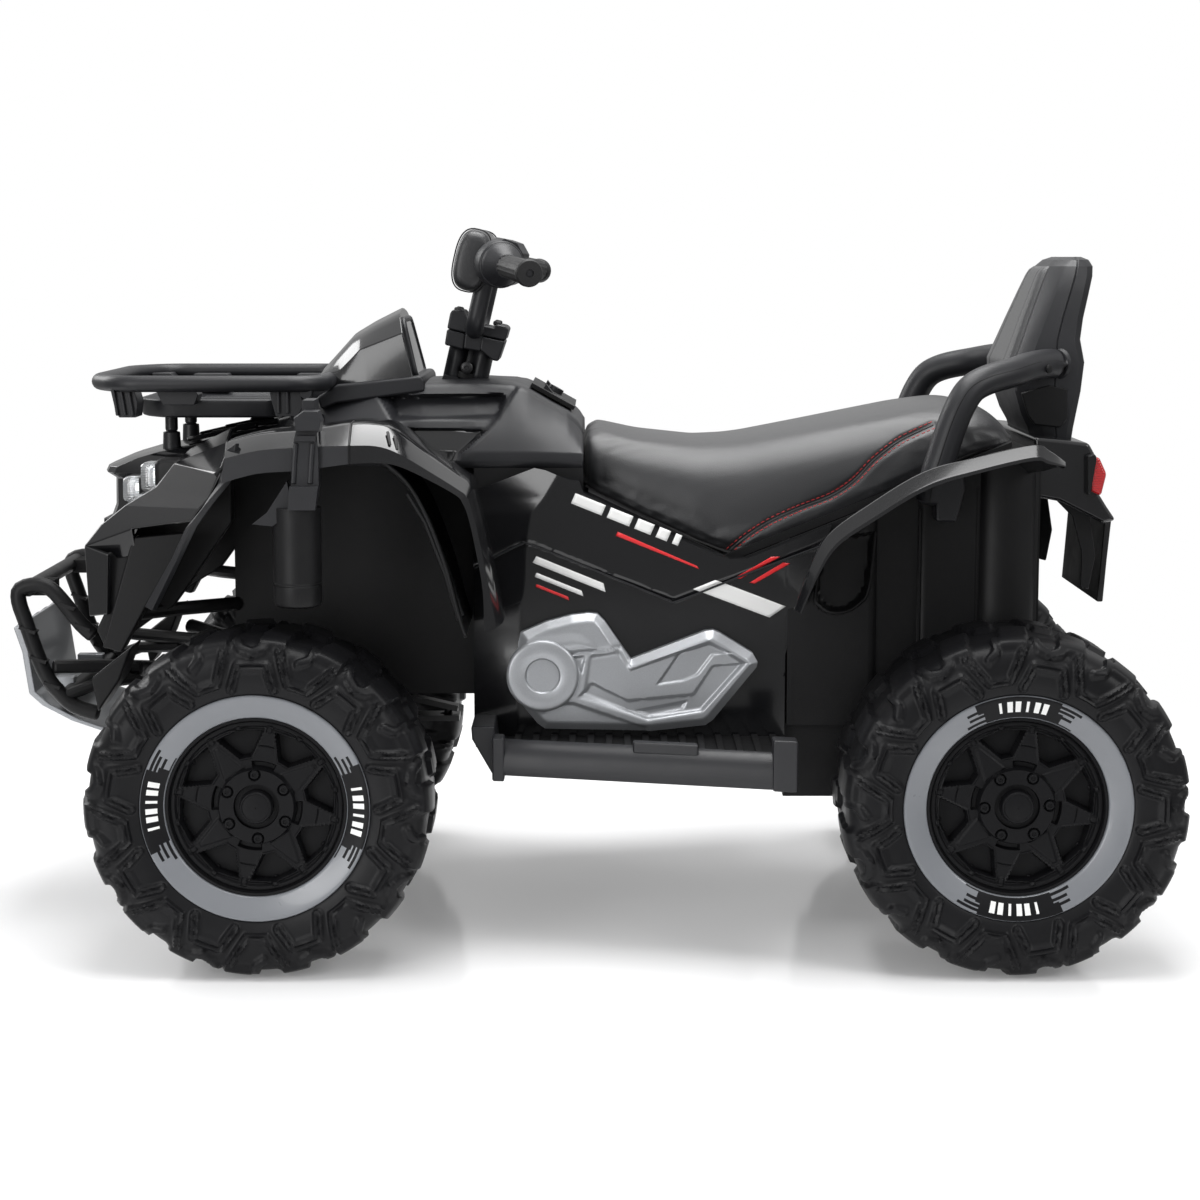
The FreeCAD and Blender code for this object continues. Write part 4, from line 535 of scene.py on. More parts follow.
def insideDepth(polygon, x, z):
    # distance to an outline, positive inside it
    nearest, inside = 1e9, False
    for (x0, z0), (x1, z1) in zip(polygon, polygon[1:] + polygon[:1]):
        nearest = min(nearest, segmentGap(x0, z0, x1, z1, x, z))
        if (z0 > z) != (z1 > z) and x < x0 + (z - z0) / (z1 - z0) * (x1 - x0):
            inside = not inside
    return nearest if inside else -nearest


def lineDistance(line, x, z):
    return min(segmentGap(*a, *b, x, z) for a, b in zip(line, line[1:]))


def ease(value):
    value = ramp(value, 1.0)
    return value * value * (3 - 2 * value)


def reliefPanel(top, bottom, face, back, step, layers, grooves=()):
    # a solid panel between two outlines, whose outer face carries raised or sunk fields and seam lines
    lowX, highX = max(top[0][0], bottom[0][0]), min(top[-1][0], bottom[-1][0])
    stops = sorted({round(x, 3) for x, _ in top + bottom if lowX <= x <= highX})
    xs = []
    for a, b in zip(stops, stops[1:]):
        parts = max(1, round((b - a) / step))
        xs += [a + (b - a) * k / parts for k in range(parts)]
    xs.append(stops[-1])
    tall = max(lineAt(top, x) - lineAt(bottom, x) for x in xs)
    across = max(4, round(tall / step))
    outer, inner = [], []
    for x in xs:
        low, high = lineAt(bottom, x), lineAt(top, x)
        outerRow, innerRow = [], []
        for k in range(across + 1):
            z = low + (high - low) * k / across
            out = face(x, z) if callable(face) else face
            for polygon, height, soft in layers:
                out += height * ramp(insideDepth(polygon, x, z), soft)
            for line, width, depth in grooves:
                out -= depth * ease(1.4 - lineDistance(line, x, z) / width)
            outerRow.append((x, -out, z))
            innerRow.append((x, -back, z))
        outer.append(outerRow)
        inner.append(innerRow)
    count, wide = len(xs), across + 1
    verts, faces = sheetOf(outer)
    backVerts, backFaces = sheetOf(inner)
    shift = len(verts)
    verts += backVerts
    faces += [tuple(i + shift for i in quad[::-1]) for quad in backFaces]
    rim = [(0, j) for j in range(wide)] + [(i, wide - 1) for i in range(1, count)]
    rim += [(count - 1, j) for j in range(wide - 2, -1, -1)] + [(i, 0) for i in range(count - 2, 0, -1)]
    for here, there in zip(rim, rim[1:] + rim[:1]):
        a, b = here[0] * wide + here[1], there[0] * wide + there[1]
        faces.append((a, b, b + shift, a + shift))
    return verts, faces


# Wheels
wheel = {
    "centres": {"front_left": (-304, -260, 165), "front_right": (-304, 260, 165),
        "rear_left": (410, -260, 165), "rear_right": (410, 260, 165)},
    "turns": {"front_left": 0, "front_right": 25, "rear_left": 90, "rear_right": 60},
    "repeats": 9, "stepsPerRepeat": 60,
    "side": [(104.5, -60), (107.5, -65.5), (112.5, -68.2), (122, -70.4), (134, -71.4), (145, -69.6),
        (152.5, -64.5), (157, -56.5), (159.2, -46)],
    # raised lines of the side blocks: shift, line, half width, height, split along the middle
    "blocks": [(0, [(-9.8, 116), (-5.4, 136.5), (5.4, 136.5), (9.8, 116)], 5.4, 3.4, True),
        (20, [(-10.6, 153), (-4.4, 123), (4.4, 123), (10.6, 153)], 5.0, 3.6, True),
        (0, [(-5.5, 158), (-3.8, 151), (0, 147.5), (3.8, 151), (5.5, 158)], 4.6, 3.6, False),
        (20, [(1.2, 161), (0.6, 149), (-2.6, 144)], 4.4, 4.2, False)],
    "ringLip": [(107.6, -64.2), (107.8, -66.6), (107.0, -67.6)],
    "ringBack": [(85.6, -59.6), (85.5, -57.0), (97.4, -56.6), (97.5, -64.2)],
}


def polar(degrees, radius):
    return radius * math.sin(math.radians(degrees)), radius * math.cos(math.radians(degrees))


def tyreRelief(degrees, radius, y):
    # height of the moulded pattern at one spot of one 40 degree repeat
    high = 0.0
    if radius < 161 and abs(y) > 50:
        here = polar(degrees, radius)
        for centre in (-40, 0, 40):
            for shift, line, width, tall, split in wheel["blocks"]:
                gap = lineDistance([polar(centre + shift + a, r) for a, r in line], *here)
                bump = tall * ease((width - gap) / 1.9)
                if split:
                    bump -= tall * 0.62 * ease((2.1 - gap) / 1.5)
                high = max(high, bump)
        shoulder = ease((radius - 150) / 6)
        high = max(high, 2.2 * shoulder * ease(1.6 - abs((degrees + 60) % 20 - 10) / 2.6))
    if abs(y) <= 66 and radius > 150:
        side = 10 if y > 0 else 0
        lean = abs(y) * 0.05
        spot = (degrees + side + lean + 60) % 20 - 10
        along = ease((abs(y) - 5) / 3)
        high = max(high, 5.0 * along * ease((5.3 - abs(spot)) / 0.9) * ease((radius - 150) / 5))
        middle = (degrees + 70) % 20 - 10
        high = max(high, 4.2 * ease((9 - abs(y)) / 2) * ease((3.4 - abs(middle)) / 0.8))
    return high


def makeTyreMesh():
    profile = [(p.x, p.y) for p in throughPoints([(r, y, 0) for r, y in wheel["side"]], 5)]
    profile += [(159.8, -46 + 92 * k / 20) for k in range(1, 20)]
    profile += [(r, -y) for r, y in profile[:41][::-3]] + [(97, 60), (97, -56)]
    outward = []
    for (r0, y0), (r1, y1) in zip(profile[-1:] + profile[:-1], profile[1:] + profile[:1]):
        outward.append(Vector((y0 - y1, r1 - r0)).normalized() * -1)
    steps, repeats = wheel["stepsPerRepeat"], wheel["repeats"]
    pitch = 360 / repeats
    sector = []
    for step in range(steps):
        degrees = pitch * step / steps - pitch / 2
        row = []
        for (r, y), out in zip(profile, outward):
            lift = tyreRelief(degrees, r, y) if r > 108 else 0.0
            row.append((r + out.x * lift, y + out.y * lift))
        sector.append(row)
    rows = []
    for k in range(repeats * steps):
        angle = math.radians(pitch * k / steps - pitch / 2)
        rows.append([(r * math.sin(angle), y, r * math.cos(angle)) for r, y in sector[k % steps]])
    return sheetOf(rows + rows[:1], closed=True)


def makeRingParts():
    dish = [(106.2 - 19.8 * k / 15, -67.7 + 7.2 * (k / 15) ** 1.3) for k in range(16)]
    return turned(wheel["ringLip"] + dish + wheel["ringBack"], 240)


def ringMarks(spot):
    # black fields across from each other, each with plain pale bars and short end ticks
    radius = math.hypot(spot.x, spot.z)
    degrees = math.degrees(math.atan2(spot.z, spot.x)) % 180
    degrees = min(degrees, 180 - degrees) * (1 if degrees < 90 else -1)
    if spot.y > -60.2 or not 86.6 < radius < 106.6:
        return 0
    share = (radius - 86.6) / 20.0
    if abs(degrees) < 21:
        bar = abs(degrees) < 15.5 and 0.24 < share < 0.76 and (degrees + 90) % 5 < 2.6
        return 2 if bar else 1
    if abs(degrees) < 24 and (share > 0.52) == (degrees > 0):
        return 1
    if abs(degrees) < 30 and (0.3 < share < 0.44 or 0.56 < share < 0.7):
        return 1
    if abs(degrees) < 33 and (0.06 < share < 0.2) == (degrees > 0) and (share < 0.2 or 0.8 < share < 0.94):
        return 1
    return 0


rimShape = {
    "rings": [21.5, 84.0], "ringStep": 0.9, "spokeStep": 1.25, "face": -50.5, "lean": 10.3,
    "window": [(4.6, 72), (22.5, 74.4), (40.4, 72), (29, 47.5), (16, 47.5)],
    "windowDepth": 13.0,
    "facet": [(-19, 37.5), (19, 37.5), (2, 67), (-2, 67)],
    "nuts": 30.6, "nutShift": -12.5,
    "barrel": [(97.6, -55.8), (97.8, 63.5), (96, 64), (91.6, 63.5), (91.6, -36), (20, -36), (20, -38.6),
        (80, -38.6), (80.6, -50), (82.6, -58.6), (85.2, -58.6), (85.3, -55.8)],
    "hub": [(22.2, -49.6), (22.2, -55.9), (21.4, -55.9), (20.8, -51.5), (16.2, -51.5), (15.6, -58.2),
        (15.2, -60.8), (14.2, -62.0), (13.2, -62.0), (12.6, -61.0), (8.0, -61.5), (0.4, -61.7),
        (0.4, -49.6)],
    "bolt": [(4.3, -53.4), (4.3, -56.6), (3.6, -57.4), (2.2, -57.4), (1.8, -56.2), (0.3, -56.2),
        (0.3, -53.4)],
    "sleeve": [(16.5, -37), (16.5, 53), (13, 54.2), (6.6, 54.2), (6.6, -37)],
}


def rimFaceHeight(degrees, radius):
    # eight tapering spokes between windows; every other one is stepped and slotted at the hub
    near = round(degrees / 45)
    off = degrees - 45 * near
    gap = insideDepth([polar(*p) for p in rimShape["window"]], *polar(abs(off), radius))
    high = -rimShape["windowDepth"] * ramp(gap, 1.4)
    if gap <= 0:
        high += 1.1 * ramp(gap + 2.2, 0.7)
    if near % 2:
        high += 1.5 * ramp(insideDepth([polar(*p) for p in rimShape["facet"]], *polar(off, radius)), 1.6)
    else:
        slot = min(radius - 36.4, 42.6 - radius, math.radians(16 - abs(off)) * radius)
        high -= 5.0 * ramp(slot, 0.9)
        high -= 1.3 * ramp(0.95 - abs(radius - 57.5), 0.5) * ramp(-gap - 2.2, 0.5)
    high += 3.2 * ramp(radius - 75.5, 1.6) * ramp(84.5 - radius, 4.0)
    spread = abs((degrees + 11.25) % 22.5 - 11.25) * math.radians(1) * radius
    high += 2.4 * ramp(3.6 - math.hypot(spread, (radius - 74) * 0.8), 1.2)
    disc = ramp(36.4 - radius, 1.2)
    high += (5.8 - high) * disc
    x, z = polar((degrees - rimShape["nutShift"] + 30) % 60 - 30, radius)
    return high - 2.6 * ramp(5.9 - math.hypot(x, z - rimShape["nuts"]), 0.9)


def makeRimParts():
    parts = [turned(rimShape["barrel"], 96)]
    low, high = rimShape["rings"]
    ringStep, spokeStep = rimShape["ringStep"], rimShape["spokeStep"]
    radii = [low + ringStep * k for k in range(int((high - low) / ringStep) + 1)]
    half = [[rimFaceHeight(spokeStep * k, r) for r in radii] for k in range(int(180 / spokeStep))]
    rows = []
    for k, lifts in enumerate(half + half):
        row = []
        for r, lift in zip(radii, lifts):
            x, z = polar(spokeStep * k + rimShape["lean"], r)
            row.append((x, rimShape["face"] - lift, z))
        rows.append(row)
    parts.append(sheetOf(rows + rows[:1]))
    parts.append(turned(rimShape["hub"], 64))
    for k in range(6):
        x, z = polar(k * 60 + rimShape["nutShift"] + rimShape["lean"], rimShape["nuts"])
        parts.append(moveParts(turned(rimShape["bolt"], 18), Matrix.Translation((x, 0, z))))
    parts.append(turned(rimShape["sleeve"], 32))
    return joinParts(parts)


tyrePart, ringPart, rimPart = makeTyreMesh(), makeRingParts(), makeRimParts()
for corner, centre in wheel["centres"].items():
    turn = Matrix.Rotation(math.radians(wheel["turns"][corner]), 3, "Y")
    spot = Matrix.Translation(Vector(centre) * mm)
    if corner.endswith("right"):
        spot = spot @ Matrix.Rotation(math.pi, 4, "Z")
    body = "wheel_" + corner

    def markTurned(place):
        return ringMarks(turn.transposed() @ place)
    addPiece("tyreTread_" + corner, moveParts(tyrePart, turn), "tyre", "tyre_" + corner, body=body,
             sharp=50, place=spot)
    addPiece("rimFace_" + corner, moveParts(rimPart, turn), "rim", "rim_" + corner, body=body, bevel=0.7,
             sharp=30, place=spot)
    addPiece("ringFace_" + corner, moveParts(ringPart, turn), ["ring", "ringDark", "white"],
             "trim_ring_" + corner, body=body, sharp=40, marks=markTurned, place=spot)
print("wheels made")


# Front body
cowl = {
    "stations": [(-268, 112, 529), (-231, 120, 538.5), (-203, 128, 543.5), (-161, 138, 550),
        (-106, 149, 551), (-70, 150, 549.5), (-59, 150, 547), (-54, 150, 545), (-30, 150, 531),
        (-13, 150, 522), (-4, 150, 514), (3, 150, 503)],
    "skirt": (470.0, 484.0), "shoulder": 0.66, "step": 2.5,
    "knee": [(-214, 580), (-58, 580), (-61, 548), (-88, 510), (-133, 470), (-188, 512), (-206, 538)],
    "kneeDepth": 9.0,
    "pocket": [(-198, 538), (-80, 541), (-75, 536), (-82, 516), (-186, 514)],
    "pocketDepth": 15.0,
    "point": [(-182, 508), (-90, 507), (-133, 470)],
    "pointDepth": 5.0,
}


def makeCowl():
    rows, x = [], cowl["stations"][0][0]
    while x <= cowl["stations"][-1][0] + 0.1:
        _, half, top = stationAt(cowl["stations"], x)
        low, waist = cowl["skirt"]
        edge = half * cowl["shoulder"]
        crown = 1.5 * (1 - ease((x + 100) / 30))
        side = [(half, low), (half, low + 7), (half - 0.6, waist)]
        for k in range(1, 37):
            t = k / 36
            side.append((half + (edge + 5 - half) * t + 5 * math.sin(math.pi * t),
                         waist + (top - 5 - waist) * t))
        side += [(edge + 2, top - 2.2), (edge - 3, top - 0.4)]
        side += [(edge * (1 - k / 6), top + crown * math.sin(math.pi / 2 * k / 6)) for k in range(1, 7)]
        row = []
        for y, z in side:
            push = 0.0
            for field in ("knee", "pocket", "point"):
                push += cowl[field + "Depth"] * ramp(insideDepth(cowl[field], x, z), 3.2)
            row.append((x, -max(0.0, y - push * ease(y / 60)), z))
        rows.append(bothWays(row))
        x += cowl["step"]

    def darkKnee(spot):
        return 1 if abs(spot.y) < 150 and insideDepth(cowl["point"], spot.x, spot.z) > 1 else 0
    addPiece("cowlShell", sheetOf(rows), ["satin", "gloss"], "upper_cowl", skin=3, sharp=48, marks=darkKnee)


dash = {
    "hood": [(-267, 559), (-254, 573), (-234, 595), (-213, 607.5), (-186, 621)],
    "crease": [(-267, 556), (-248, 562), (-227, 584), (-186, 601)],
    "base": 544.0, "half": (72.0, 87.0),
    "collar": [(-267, 536), (-246, 549), (-162, 558), (-158, 554), (-158, 542), (-247, 530), (-262, 524)],
    "glass": [(-60, 557), (60, 557), (45, 611), (-45, 611)],
    "glassMiddle": 583.0,
    "panes": [(1.0, -2), (1.0, 1.2), (0.97, 2.2), (0.9, 2.5)],
    "faceFoot": (-167, 546), "faceRun": 19, "faceRise": 78.5,
}


def makeDash():
    base = dash["base"]
    frontX, rearX = dash["hood"][0][0], dash["hood"][-1][0]
    rows = []
    for k in range(21):
        s = k / 20
        x = frontX + (rearX - frontX) * s
        top, fold = lineAt(dash["hood"], x), lineAt(dash["crease"], x)
        wide = dash["half"][0] + (dash["half"][1] - dash["half"][0]) * s ** 0.7
        side = [(wide, base), (wide * 0.985, base + (fold - base) * 0.5), (wide * 0.93, fold - 1.5),
                (wide * 0.925, fold), (wide * 0.9, fold + 1.2), (wide * 0.72, fold + (top - fold) * 0.62),
                (wide * 0.6, top - 2), (wide * 0.5, top), (wide * 0.25, top + 2.5), (0, top + 3.5)]
        row = [(x + dash["faceRun"] * s * (1 - (z - base) / (top + 3.5 - base)), -y, z) for y, z in side]
        rows.append(bothWays(row))
    wide = len(rows[0])
    verts, faces = sheetOf(rows)
    faces.append(tuple(range((len(rows) - 1) * wide, len(rows) * wide)))
    faces.append(tuple(range(wide))[::-1])
    addPiece("dashHood", (verts, faces), "gloss", "dash_cowl", bevel=1.2, sharp=30)
    addPiece("dashCollar", prism(dash["collar"], -91, 91), "satin", bevel=3, steps=3)
    outline = roundCorners([(y, z, 0) for y, z in dash["glass"]], 10, 5, closed=True)
    middle = dash["glassMiddle"]
    footX, footZ = dash["faceFoot"]

    def onFace(point, size, lift):
        z = middle + (point.y - middle) * size
        return (footX - dash["faceRun"] * (z - footZ) / dash["faceRise"] + lift, point.x * size, z)
    panes = [[onFace(p, size, lift) for p in outline] for size, lift in dash["panes"]]
    addPiece("screenGlass", lofted(panes), "smoke", "dash_screen", sharp=30)
    addPiece("screenFrame", tube([onFace(p, 1.06, 0.8) for p in outline], 3.0, 10, closed=True), "satin")


nose = {
    "levels": [(348, -460, 46, 62, -441), (364, -471, 50, 74, -434), (384, -482, 53, 88, -424),
        (405, -490, 56, 104, -412), (414, -487, 59, 110, -402), (419, -485, 60, 112, -300),
        (424, -483, 61, 112, -262), (452, -482, 66, 112, -262), (459, -491, 74, 112, -262),
        (465, -488, 75, 112, -262), (474, -467, 78, 111, -262), (481, -443, 82, 110, -262),
        (487, -403, 86, 108, -262), (499, -360, 88, 106, -262), (511, -310, 88, 103, -262),
        (519, -276, 88, 98, -262)],
}


def makeNose():
    rings = []
    for z, front, tip, wide, end in nose["levels"]:
        length = end - front
        half = [(front, 0), (front + 1.5, tip * 0.55), (front + 7, tip * 0.86), (front + 16, tip),
                (front + 16 + (length - 16) * 0.3, tip + (wide - tip) * 0.62),
                (front + 16 + (length - 16) * 0.6, tip + (wide - tip) * 0.9), (end, wide)]
        left = [(x, -y, z) for x, y in half]
        rings.append(left + [(x, y, z) for x, y in half[:0:-1]])
    addPiece("noseShell", lofted(rings), "gloss", "nose_cowl", bevel=1.6, sharp=26)
    slats = []
    grille = [(z, front) for z, front, *_ in nose["levels"][:4]]
    for z in range(354, 407, 13):
        front = lineAt(grille, z)
        bar = [(front - 3, -44), (front + 4, -50), (front + 18, -50), (front + 18, 50), (front + 4, 50),
               (front - 3, 44)]
        slats.append(slabZ(bar, z - 3, z + 4))
    addPiece("noseSlats", joinParts(slats), "satin", bevel=1.2)
    vents = []
    for side in (-1, 1):
        for k in range(3):
            spine = [(-405 + k * 26, side * (40 + k * 6), 490.5 + k * 7),
                     (-352 + k * 22, side * (62 + k * 5), 502 + k * 5)]
            vents.append(tube(spine, 3.4, 8, flat=0.7))
    addPiece("hoodRibs", joinParts(vents), "gloss")


liner = {
    "outline": [(-352, 482), (-343, 472), (-343, 419), (-365, 388), (-386, 357), (-403, 334), (-425, 321),
        (-447, 305), (-452, 380), (-430, 424), (-372, 433)],
    "near": -168.0, "far": -150.0,
}


def makeLiner():
    # black plate behind the fender's arm that closes the view towards the grille
    addPiece("armLiner", prism(liner["outline"], liner["near"], liner["far"]), "matte", mirror=True,
             bevel=2.0)


lamp = {
    "pods": [((-454, -146, 435), (-430, -112, 461)), ((-432, -168, 447), (-410, -136, 477))],
}


def makeLamps():
    lenses, bowls, shells = [], [], []
    for low, high in lamp["pods"]:
        corner = [(low[1], low[2]), (high[1], low[2]), (high[1], high[2]), (low[1], high[2])]
        midY, midZ = sum(y for y, _ in corner) / 4, sum(z for _, z in corner) / 4
        for part, grow, front, back in ((lenses, 0.0, low[0], high[0] - 6),
                                        (bowls, -3.0, low[0] + 7, high[0] + 8),
                                        (shells, 3.0, high[0] - 8, high[0] + 44)):
            grown = [(midY + (y - midY) * (1 + grow / 16), midZ + (z - midZ) * (1 + grow / 14), 0)
                     for y, z in corner]
            ring = roundCorners(grown, 7, 3, closed=True)
            rings = []
            for x, size in ((front, 0.82), (front + 3, 0.95), (front + 7, 1.0), (back, 1.0)):
                rings.append([(x, midY + (p.x - midY) * size, midZ + (p.y - midZ) * size) for p in ring])
            part.append(lofted(rings))
    addPiece("lampLenses", joinParts(lenses), "clear", "headlights", mirror=True, sharp=30)
    addPiece("lampBowls", joinParts(bowls), "mirror", mirror=True, sharp=30)
    addPiece("lampShells", joinParts(shells), "matte", mirror=True, bevel=1.0)


fender = {
    "top": [(-331, 504), (-300, 511.5), (-260, 515), (-216, 521), (-192, 521), (-175, 516), (-141, 491),
        (-112, 471), (-103, 463), (-97, 440), (-90, 412), (-82, 370), (-74, 333)],
    "fold": [(-330, 491), (-298, 498.5), (-258, 501.5), (-214, 503), (-189, 502.5), (-169, 496),
        (-140, 479), (-113, 462), (-105, 455), (-99.5, 438), (-93, 411), (-85, 369.5), (-78, 332)],
    "lip": [(-333, 468), (-300, 477), (-260, 480), (-214, 486), (-189, 487), (-170, 484.5), (-147, 474.5),
        (-116, 457.5), (-109, 449), (-104, 436), (-98, 409), (-91, 368), (-90, 329)],
    "edge": 276.0, "outer": 301.0, "root": 96.0, "joint": -214.5,
    "shield": [
        [(-352, -100, 506), (-340, -215, 500), (-331, -289, 493)],
        [(-392, -104, 486), (-391, -213, 480), (-338, -286, 475)],
        [(-412, -108, 462), (-409, -215, 457), (-348, -281, 453)],
        [(-443, -110, 442), (-441, -206, 438), (-358, -276, 442)],
        [(-467, -110, 422), (-465, -206, 419), (-368, -266, 430)],
        [(-485, -110, 399), (-481, -206, 399), (-431, -229, 418)],
        [(-482, -110, 380), (-476, -202, 380), (-428, -222, 392)],
    ],
    "beak": [[(-485, -110, 399), (-483, -110, 332)], [(-481, -206, 399), (-478, -206, 330)],
        [(-455, -228, 393), (-458, -222, 334)]],
    "flange": [[(-330, -288, 498), (-320, -293, 505)], [(-335, -286, 478), (-323, -293, 488)],
        [(-339, -285, 466), (-327, -292, 473)], [(-356, -282, 441), (-348, -288, 450)],
        [(-371, -278, 424), (-364, -284, 430)], [(-386, -272, 394), (-380, -278, 395)],
        [(-416, -252, 346), (-408, -259, 343)]],
    "slots": [(-178, 507), (-171.5, 503)],
    "well": [(-345, 470), (-322, 484), (-250, 494), (-205, 492), (-170, 470), (-149, 438), (-129, 386),
        (-117, 341), (-110, 318)],
    "wellSection": [(0, -112, 0), (0, -170, -1), (0, -228, -3), (2, -262, 0), (3, -288, 6)],
    "ribs": [(-163, 456), (-146, 428), (-127, 378), (-115, 334)],
}


def makeFenders():
    top, fold, lip = ([Vector((p.x, 0, p.y)) for p in throughPoints([(x, z, 0) for x, z in fender[k]], 4)]
                      for k in ("top", "fold", "lip"))
    rows = []
    for a, b, c in zip(top, fold, lip):
        inward = (c - a).normalized()
        row = [(a.x + inward.x * 10, -fender["root"], a.z + inward.z * 10)]
        for y, sink in ((150, 3), (205, -1.0), (250, -1.2), (fender["edge"] - 2.5, -0.2),
                        (fender["edge"], 0.6)):
            row.append((a.x + inward.x * sink, -y, a.z + inward.z * sink))
        row += [(b.x, -fender["outer"], b.z), (c.x, -fender["outer"] - 1.2, c.z),
                (c.x, -fender["outer"] + 8, c.z)]
        rows.append(row)

    def bandMark(spot):
        return 1 if spot.x < fender["joint"] and spot.y < -fender["outer"] + 2 else 0
    addPiece("fenderArch", sheetOf(rows), ["gloss", "satin"], "front_fenders", mirror=True, skin=4,
             bevel=0.9, sharp=24, marks=bandMark)
    addPiece("fenderShield", sheetOf(fender["shield"]), "gloss", mirror=True, skin=5, bevel=1.3, sharp=8)
    addPiece("fenderBeak", sheetOf(fender["beak"]), "gloss", mirror=True, skin=6, bevel=1.2, sharp=15)
    addPiece("fenderFlange", sheetOf(fender["flange"]), "satin", mirror=True, skin=6, bevel=1.2)
    joint, edge, outer = fender["joint"], fender["edge"], fender["outer"]
    seams = [tube([(joint, -edge + 30, 522), (joint, -edge, 521.4), (joint + 0.5, -outer - 0.2, 503),
                   (joint + 0.5, -outer - 1.2, 486)], 1.1, 6)]
    for x, z in fender["slots"]:  # two short moulded slots on the shoulder
        seams.append(tube([(x - 1.5, -284, z + 8), (x + 1.5, -297, z - 4)], 1.5, 6, flat=0.6))
    addPiece("fenderSeam", joinParts(seams), "matte", mirror=True)
    line = throughPoints([(x, 0, z) for x, z in fender["well"]], 5)
    rows = [[(p.x + dx, y, p.z + dz) for dx, y, dz in fender["wellSection"]] for p in line]
    addPiece("fenderLiner", sheetOf(rows), "matte", mirror=True, skin=3, sharp=40)
    ribs = [tube([(x, y, z) for x, z in fender["ribs"]], 3.2, 8) for y in (-232, -262)]
    addPiece("linerRibs", joinParts(ribs), "matte", mirror=True)


guard = {
    "outline": [(-431, 409), (-374, 415), (-417, 346), (-444, 297), (-463, 302), (-446, 359)],
    "face": (-224, -196),
    "cheek": [(-458, 393), (-429, 409), (-445, 359), (-462, 300), (-470, 318), (-462, 334)],
    "foot": [(-484, 264), (-452, 289), (-443, 296), (-456, 262), (-478, 230)],
    "arms": [([(-440, -190, 330), (-400, -150, 330), (-345, -110, 330)], 7),
        ([(-440, -150, 270), (-400, -130, 262), (-349, -100, 258)], 8)],
}


def makeGuards():
    parts = [prism(guard["outline"], *guard["face"], 0.04), prism(guard["cheek"], -214, -190),
             prism(guard["foot"], -176, -118)]
    addPiece("guardPlates", joinParts(parts), "matte", "front_guards", mirror=True, bevel=2.2)
    arms = [tube(path, radius, 10) for path, radius in guard["arms"]]
    addPiece("guardArms", joinParts(arms), "matte", mirror=True)


canister = {
    "strap": [(-263, 530), (-254, 535), (-241, 535), (-238, 527), (-239, 519), (-243, 515), (-242, 492),
        (-242, 465), (-245, 445), (-270, 445), (-268, 465), (-265, 506), (-262, 519)],
    "cap": [(-263, 529), (-254, 535.5), (-241, 535.5), (-238, 527), (-240, 518), (-261, 518)],
    "ledge": [(-262, 513), (-244, 513), (-244, 508), (-263, 508)],
    "foot": [(-268.5, 466), (-242, 466), (-245, 444), (-270.5, 444)],
    "fin": [(-305, 430), (-291, 441), (-272, 470), (-268, 452), (-272, 438), (-286, 428)],
    "centre": (-265, -288),
    "post": [(-257, 545), (-246, 545), (-244, 520), (-258, 520)],
    "bottle": [(0.5, 0), (18, 0), (21.4, 1.6), (22.6, 5), (22.6, 20), (21.8, 21), (21.8, 22.4),
        (22.6, 23.4), (22.8, 94.0), (0.5, 94.0)],
    "base": 351.0,
}


def makeCanisters():
    spot = Matrix.Translation((*canister["centre"], canister["base"]))
    upright = Matrix.Rotation(math.radians(90), 4, "X")
    bottle = moveParts(turned(canister["bottle"], 44), spot @ upright)
    addPiece("canisterBodies", bottle, "matte", "canisters", mirror=True, bevel=0.8, sharp=30)
    straps = [prism(canister["strap"], -307, -294), prism(canister["cap"], -317, -303, -0.12)]
    straps += [prism(canister["ledge"], -313, -305), prism(canister["foot"], -313, -300),
               prism(canister["fin"], -303, -290)]
    for x in (-262.5, -247.0):
        straps.append(tube([(x, -307, 506), (x - 1.5, -307, 490), (x - 3.0, -307, 468)], 2.6, 8))
    straps.append(prism(canister["post"], -300, -262))
    addPiece("canisterStraps", joinParts(straps), "satin", mirror=True, bevel=1.8, sharp=30)


rack = {
    "rail": [(-486, -96), (-456, -146), (-276, -146), (-256, -126), (-256, 126), (-276, 146), (-456, 146),
        (-486, 96)],
    "height": 552.5, "tube": 8.2, "tray": (-447, -302, 114.0),
    "trayRim": [(517, -7), (518.5, -2), (531, 2), (534, 2), (535.5, 0.5), (535, -2.5), (529.5, -9),
        (527, -14), (526.5, -34)],
    "frontStay": [(-466, 552), (-446, 552), (-441, 545), (-438, 534), (-440, 519), (-457, 519),
        (-461, 528)],
    "midStay": [(-421, 551), (-385, 551), (-379, 541), (-383, 531), (-414, 531), (-419, 541)],
    "rearStay": [(-309, 551), (-279, 551), (-274, 531), (-280, 520), (-302, 520), (-306, 535)],
    "hook": [(-279, 551), (-265, 551), (-266, 540), (-272, 535.5), (-277, 540)],
}


